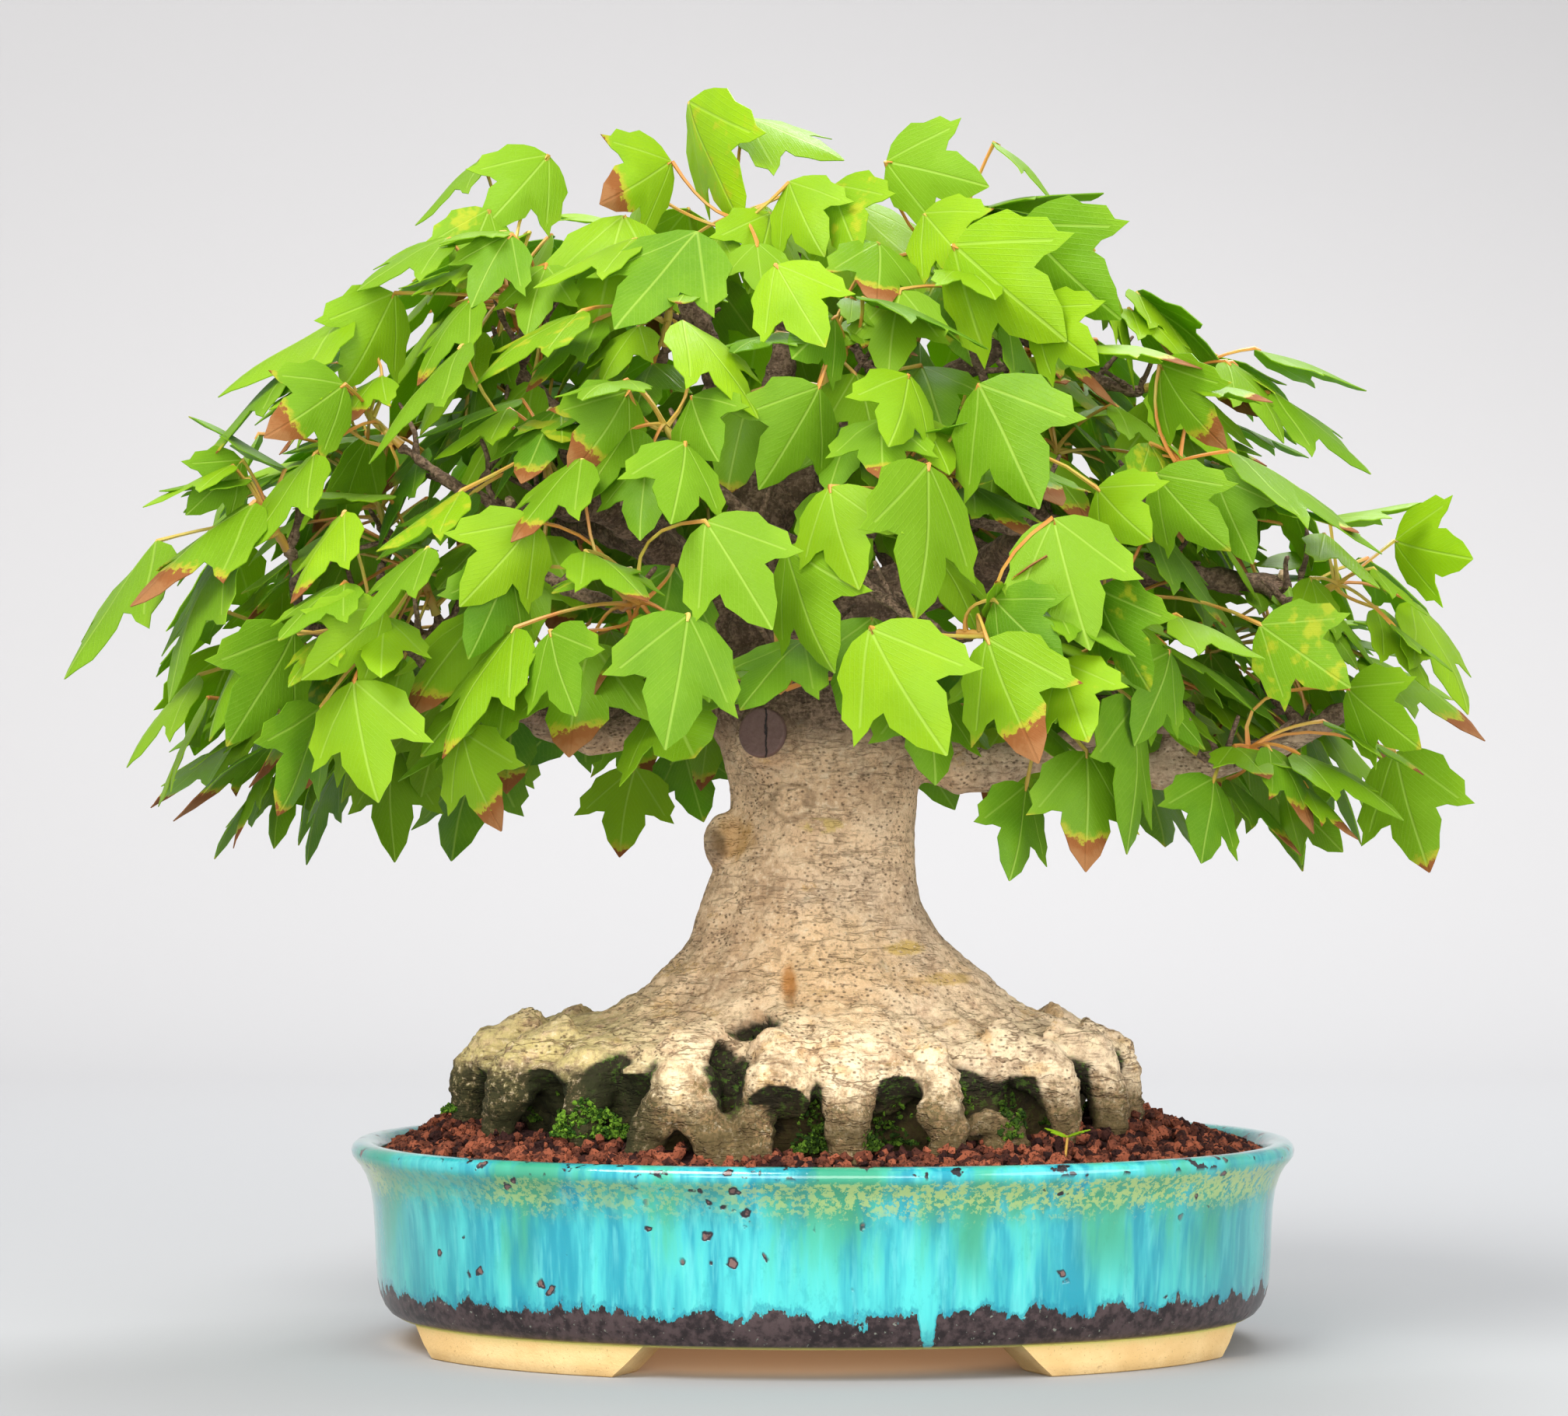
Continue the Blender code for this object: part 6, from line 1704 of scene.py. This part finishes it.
# %% Soil bed
def soil_finish(name, low, high):
    soil = Finish(name, Roughness=0.95, Specular_IOR_Level=0.2)
    tone = soil.attribute("grain_tone", "Fac")
    fine = soil.noise(900.0, 4.0, 0.7)
    broad = soil.noise(120.0, 2.0, 0.5)
    colour = soil.mix(soil.step(tone * 0.9 + broad * 0.4, 0.25, 1.15), low, high)
    pits = 1 - soil.step(soil.cells(1100.0), 0.12, 0.42)
    colour = soil.mix(pits * 0.65, colour, tuple(v * 0.25 for v in low))
    return soil.feed(Base_Color=colour, Normal=soil.bump(fine - pits, 0.8, 0.0006))


BED_DEPTH = 0.0012  # how far the bed lies under the grains


def soil_between(exact, share):
    """The soil's surface between two of its flats."""
    near, far = soil_point(int(exact) % SEGMENTS, share), soil_point((int(exact) + 1) % SEGMENTS, share)
    return near.lerp(far, exact - int(exact))


lava = soil_finish("lava_grit", (0.026, 0.009, 0.008), (0.32, 0.092, 0.046))
bm = bmesh.new()
floor_height = FOOT_HEIGHT + FLOOR + SCREEN_THICKNESS + 2 * GAP
soil_rings = [[Vector((p.x, p.y, floor_height)) for p in glaze_ring(18.5, 20.0)],
              glaze_ring(13.6, 21.0), glaze_ring(11.3, 42.0), glaze_ring(10.0, 53.0)]
for share in (0.985, 0.8, 0.6, 0.4, 0.2, 0.0):
    soil_rings.append([soil_between(SEGMENTS * k / POT_FLATS, share) - Vector((0, 0, BED_DEPTH))
                       for k in range(POT_FLATS)])
soil_rings.append([Vector((p.x * 0.9, p.y * 0.9, 0.050)) for p in soil_rings[-1]])
skin_rings(bm, soil_rings)
triangulate_caps(bm)
bmesh.ops.recalc_face_normals(bm, faces=bm.faces)
finished("soil_bed", bm, [lava], "soil_grit", "soil")

# %% [markdown]
# Loose grains lie on the bed at random. A grain is small, so twenty flat faces are enough: with flat shading
# and shaken corners they look like crushed stone. They are made in batches to keep each piece light.

# %% Loose grains of lava
GRAINS = 4225
GRAINS_A_PIECE = 325


def scattered_soil(chance):
    """A random place on the soil's surface."""
    exact = chance.random() * SEGMENTS
    return soil_between(exact, math.sqrt(chance.random()) * 0.985)


def add_grain(bm, tone_layer, place, size, chance, squash=1.0, jitter=0.34):
    turn = Matrix.Rotation(chance.uniform(0, math.tau), 4, random_vector(chance))
    stretch = Matrix.Diagonal((chance.uniform(0.75, 1.2), chance.uniform(0.75, 1.2),
                               chance.uniform(0.7, 1.0) * squash, 1))
    matrix = Matrix.Translation(place) @ turn @ stretch
    made = bmesh.ops.create_icosphere(bm, subdivisions=1, radius=size, matrix=matrix)["verts"]
    tone = chance.random()
    for vert in made:
        vert.co += Vector([chance.uniform(-jitter, jitter) * size for _ in range(3)])
        vert[tone_layer] = tone


for batch in range(GRAINS // GRAINS_A_PIECE):
    chance = random.Random(f"grit {batch}")
    bm = bmesh.new()
    tone_layer = bm.verts.layers.float.new("grain_tone")
    for _ in range(GRAINS_A_PIECE):
        place = scattered_soil(chance)
        size = chance.choice((0.0011, 0.0014, 0.0016, 0.0020))
        lift = chance.uniform(-0.0004, 0.0010)
        add_grain(bm, tone_layer, place + Vector((0, 0, lift)), size, chance)
    bmesh.ops.recalc_face_normals(bm, faces=bm.faces)
    finished(f"lava_grains_{batch + 1}", bm, [lava], "soil_grit", smooth=False)
print("grains", GRAINS)

# %% [markdown]
# Moss keeps to the damp hollows. Its tufts are the same shaken grains, much smaller, piled higher in the
# middle of a patch than at its ends. Two patches in the light get a brighter copy of the moss colour, which is
# painted light, and the rest a darker copy, which is painted shade.

# %% Moss tufts
moss_dark = soil_finish("dark_moss", (0.016, 0.042, 0.004), (0.085, 0.17, 0.012))
moss_painted_lit = soil_finish("painted_lit_moss", (0.022, 0.075, 0.006), (0.17, 0.33, 0.025))


def moss_tufts(name, degrees, spread, low, high, count, finish, stands_for=(), out=(-0.001, 0.004)):
    """Tufts in a hollow of the root wall, thicker low down."""
    chance = random.Random(name)
    bm = bmesh.new()
    tone_layer = bm.verts.layers.float.new("grain_tone")
    for _ in range(count):
        drift = chance.uniform(-1, 1)
        angle = math.radians(degrees + drift * spread)
        rise = chance.random() ** 1.5 * (1 - abs(drift) ** 1.5)
        height = low + (high - low) * rise
        place = trunk_point(angle, height, chance.uniform(*out) * (1 - 0.7 * rise))
        place.z = max(place.z, soil_at_roots(angle) + 0.0004)
        add_grain(bm, tone_layer, place, chance.uniform(0.0004, 0.0009), chance, 0.8, 0.6)
    bmesh.ops.recalc_face_normals(bm, faces=bm.faces)
    finished(name, bm, [finish], "moss", *stands_for, smooth=False)


for name, (first, last, rise, depth) in MOSS.items():
    middle = (first + last) / 2 * 360 / SEGMENTS
    spread = (last - first + 1) / 2 * 360 / SEGMENTS * (0.45 if name == "moss_front_left" else 0.7)
    foot = soil_at_roots(math.radians(middle))
    # painted light: the two patches in the light get the brighter copy of the moss colour
    finish = moss_painted_lit if name in ("moss_left", "moss_front_left") else moss_dark
    moss_tufts(f"{name}_tufts", middle, spread, foot, foot + rise * 1.1, 520, finish, (name,), (0.0, depth))
HOLLOWS = [220, 239, 259, 273, 288, 301, 315, 330, 346, 2, 26, 49, 71, 93, 113, 134, 157, 186, 204]
for number, degrees in enumerate(HOLLOWS, start=1):
    moss_tufts(f"hollow_moss_{number}", degrees, 4.0, 0.060, 0.080, 130, moss_dark, (), (-0.010, -0.003))
print("moss in", len(MOSS) + len(HOLLOWS), "places")

# %% [markdown]
# A weed has sprouted from the grit at the front right: a thread of a stem and two round seed leaves.

# %% Seedling
bm = bmesh.new()
flat_map = bm.verts.layers.float_vector.new("flat_map")
tint_layer = bm.verts.layers.float_vector.new("leaf_tint")
foot = soil_point(SEEDLING_FLAT, SEEDLING_SHARE)
lean = Vector((0.1, -0.1, 1)).normalized()
stem_top = foot + lean * SEEDLING_HEIGHT
skin_rings(bm, [round_ring(foot.lerp(stem_top, t), lean, Vector((1, 0, 0)), 0.0004, 6)
                for t in (0.0, 0.5, 1.0)], 1)
for side in (-1, 1):
    forward = Vector((side * 0.8, -0.35 * side, 0.55)).normalized()
    seed_leaf = {"base": stem_top - lean * 0.0002, "forward": forward,
                 "face": across_to(forward, Vector((0, 0, 1))), "length": 0.0064, "width": 0.0040}
    add_blade(bm, seed_leaf, flat_map, tint_layer, (0.9, 0.0, 0.0))
finished("seedling_sprout", bm, [leaf_green, stalk_orange], "leaf", "seedling", sharp=60)


# %% [markdown]
# ## Floor, light and camera
# The tree stands on a pale sheet that curves up behind it. Large soft lamps and a bright world give the
# shadowless look of a product picture. The sheet is painted lighter where it rises behind, and under the pot
# it is painted a light warm beige and glows, which gives the soft shadow there a painted warm light.

# %% Pale sheet behind and below
def sheet_finish():
    sheet = Finish("pale_sheet", Roughness=0.9, Specular_IOR_Level=0.1, Emission_Strength=1.0)
    x, y, z = sheet.split(sheet.object)
    # painted light: the sheet is painted lighter where it rises behind than on the floor
    rise = sheet.step(y + z * 0.5, 0.3, 2.2)
    tone = sheet.mix(rise, (0.372, 0.380, 0.394), (0.545, 0.543, 0.555))
    under = ((x / POT_LENGTH) * (x / POT_LENGTH) + (y / POT_DEPTH) * (y / POT_DEPTH)).math("SQRT")
    # painted light: under the pot the sheet is painted a light warm beige and emits a warm glow, which
    # lightens the shadow there
    tone = sheet.mix((1 - sheet.step(under, 0.34, 0.45)) * 0.9, tone, (0.92, 0.77, 0.64))
    warm = 1 - sheet.step(under, 0.32, 0.42)
    return sheet.feed(Base_Color=tone, Emission_Color=sheet.mix(warm, (0.0, 0.0, 0.0), (0.125, 0.078, 0.046)))


bm = bmesh.new()
verts = [bm.verts.new((-4.0, y, z)) for y, z in
         [(-3.0, 0.0), (1.2, 0.0)] + [(1.2 + 0.8 * math.sin(a), 0.8 - 0.8 * math.cos(a))
                                      for a in (math.pi / 2 * k / 16 for k in range(1, 17))] + [(2.0, 4.5)]]
edges = [bm.edges.new(pair) for pair in zip(verts, verts[1:])]
made = bmesh.ops.extrude_edge_only(bm, edges=edges)["geom"]
bmesh.ops.translate(bm, vec=(8.0, 0, 0), verts=[g for g in made if isinstance(g, bmesh.types.BMVert)])
bmesh.ops.recalc_face_normals(bm, faces=bm.faces)
backdrop = plain_mesh("pale_sheet", bm)
backdrop.shade_smooth()
backdrop.materials.append(sheet_finish())
in_scene("pale_sheet", backdrop)

# %% [markdown]
# Four round lamps about a metre wide give soft edges to every shadow: a warm key light from the upper left, a
# weaker fill from the right, one low in front for the roots, and one behind that shines through the leaves.

# %% Lamps and world
def aimed(made, place, aim):
    """Stands a lamp or camera at a place and turns it to look at its aim."""
    made.location = place
    made.rotation_euler = (aim - place).to_track_quat("-Z", "Y").to_euler()


def soft_lamp(name, place, aim, size, watts, colour=(1.0, 1.0, 1.0)):
    data = bpy.data.lights.new(name, "AREA")
    data.shape, data.size, data.energy, data.color = "DISK", size, watts, colour
    aimed(in_scene(name, data), Vector(place), Vector(aim))


soft_lamp("key", (-0.7, -1.2, 1.7), (0, 0, 0.2), 1.1, 42, (1.0, 0.975, 0.94))
soft_lamp("fill", (1.3, -1.3, 0.7), (0, 0, 0.2), 1.2, 14)
soft_lamp("front", (-0.1, -1.9, 0.30), (0, 0, 0.12), 1.3, 24, (1.0, 0.96, 0.91))
soft_lamp("back", (0.3, 1.0, 1.6), (0, 0, 0.25), 0.9, 26)
world = bpy.data.worlds.new("pale_room")
world.use_nodes = True
background = world.node_tree.nodes["Background"].inputs
background["Color"].default_value = (1.0, 0.99, 0.975, 1.0)
background["Strength"].default_value = 0.80
bpy.context.scene.world = world
bpy.context.scene.view_settings.view_transform = "Standard"

# %% [markdown]
# The camera stands well back, level with the lower edge of the crown, so the pot's rim is a thin oval and the
# tree is hardly foreshortened. A long lens fills the frame from there.

# %% Camera, level with the crown's skirt
MIDDLE_HEIGHT = 0.188  # of what the camera sees

camera_data = bpy.data.cameras.new("front_view")
camera_data.lens = 96.05  # mm
camera_data.sensor_width = 36.0
camera_data.clip_start = 0.05
camera = in_scene("front_view", camera_data)
eye = Vector(EYE) * MM + MIDDLE
aimed(camera, eye, Vector((eye.x, MIDDLE.y, MIDDLE_HEIGHT)))
bpy.context.scene.camera = camera
print("camera", [round(v, 3) for v in eye])
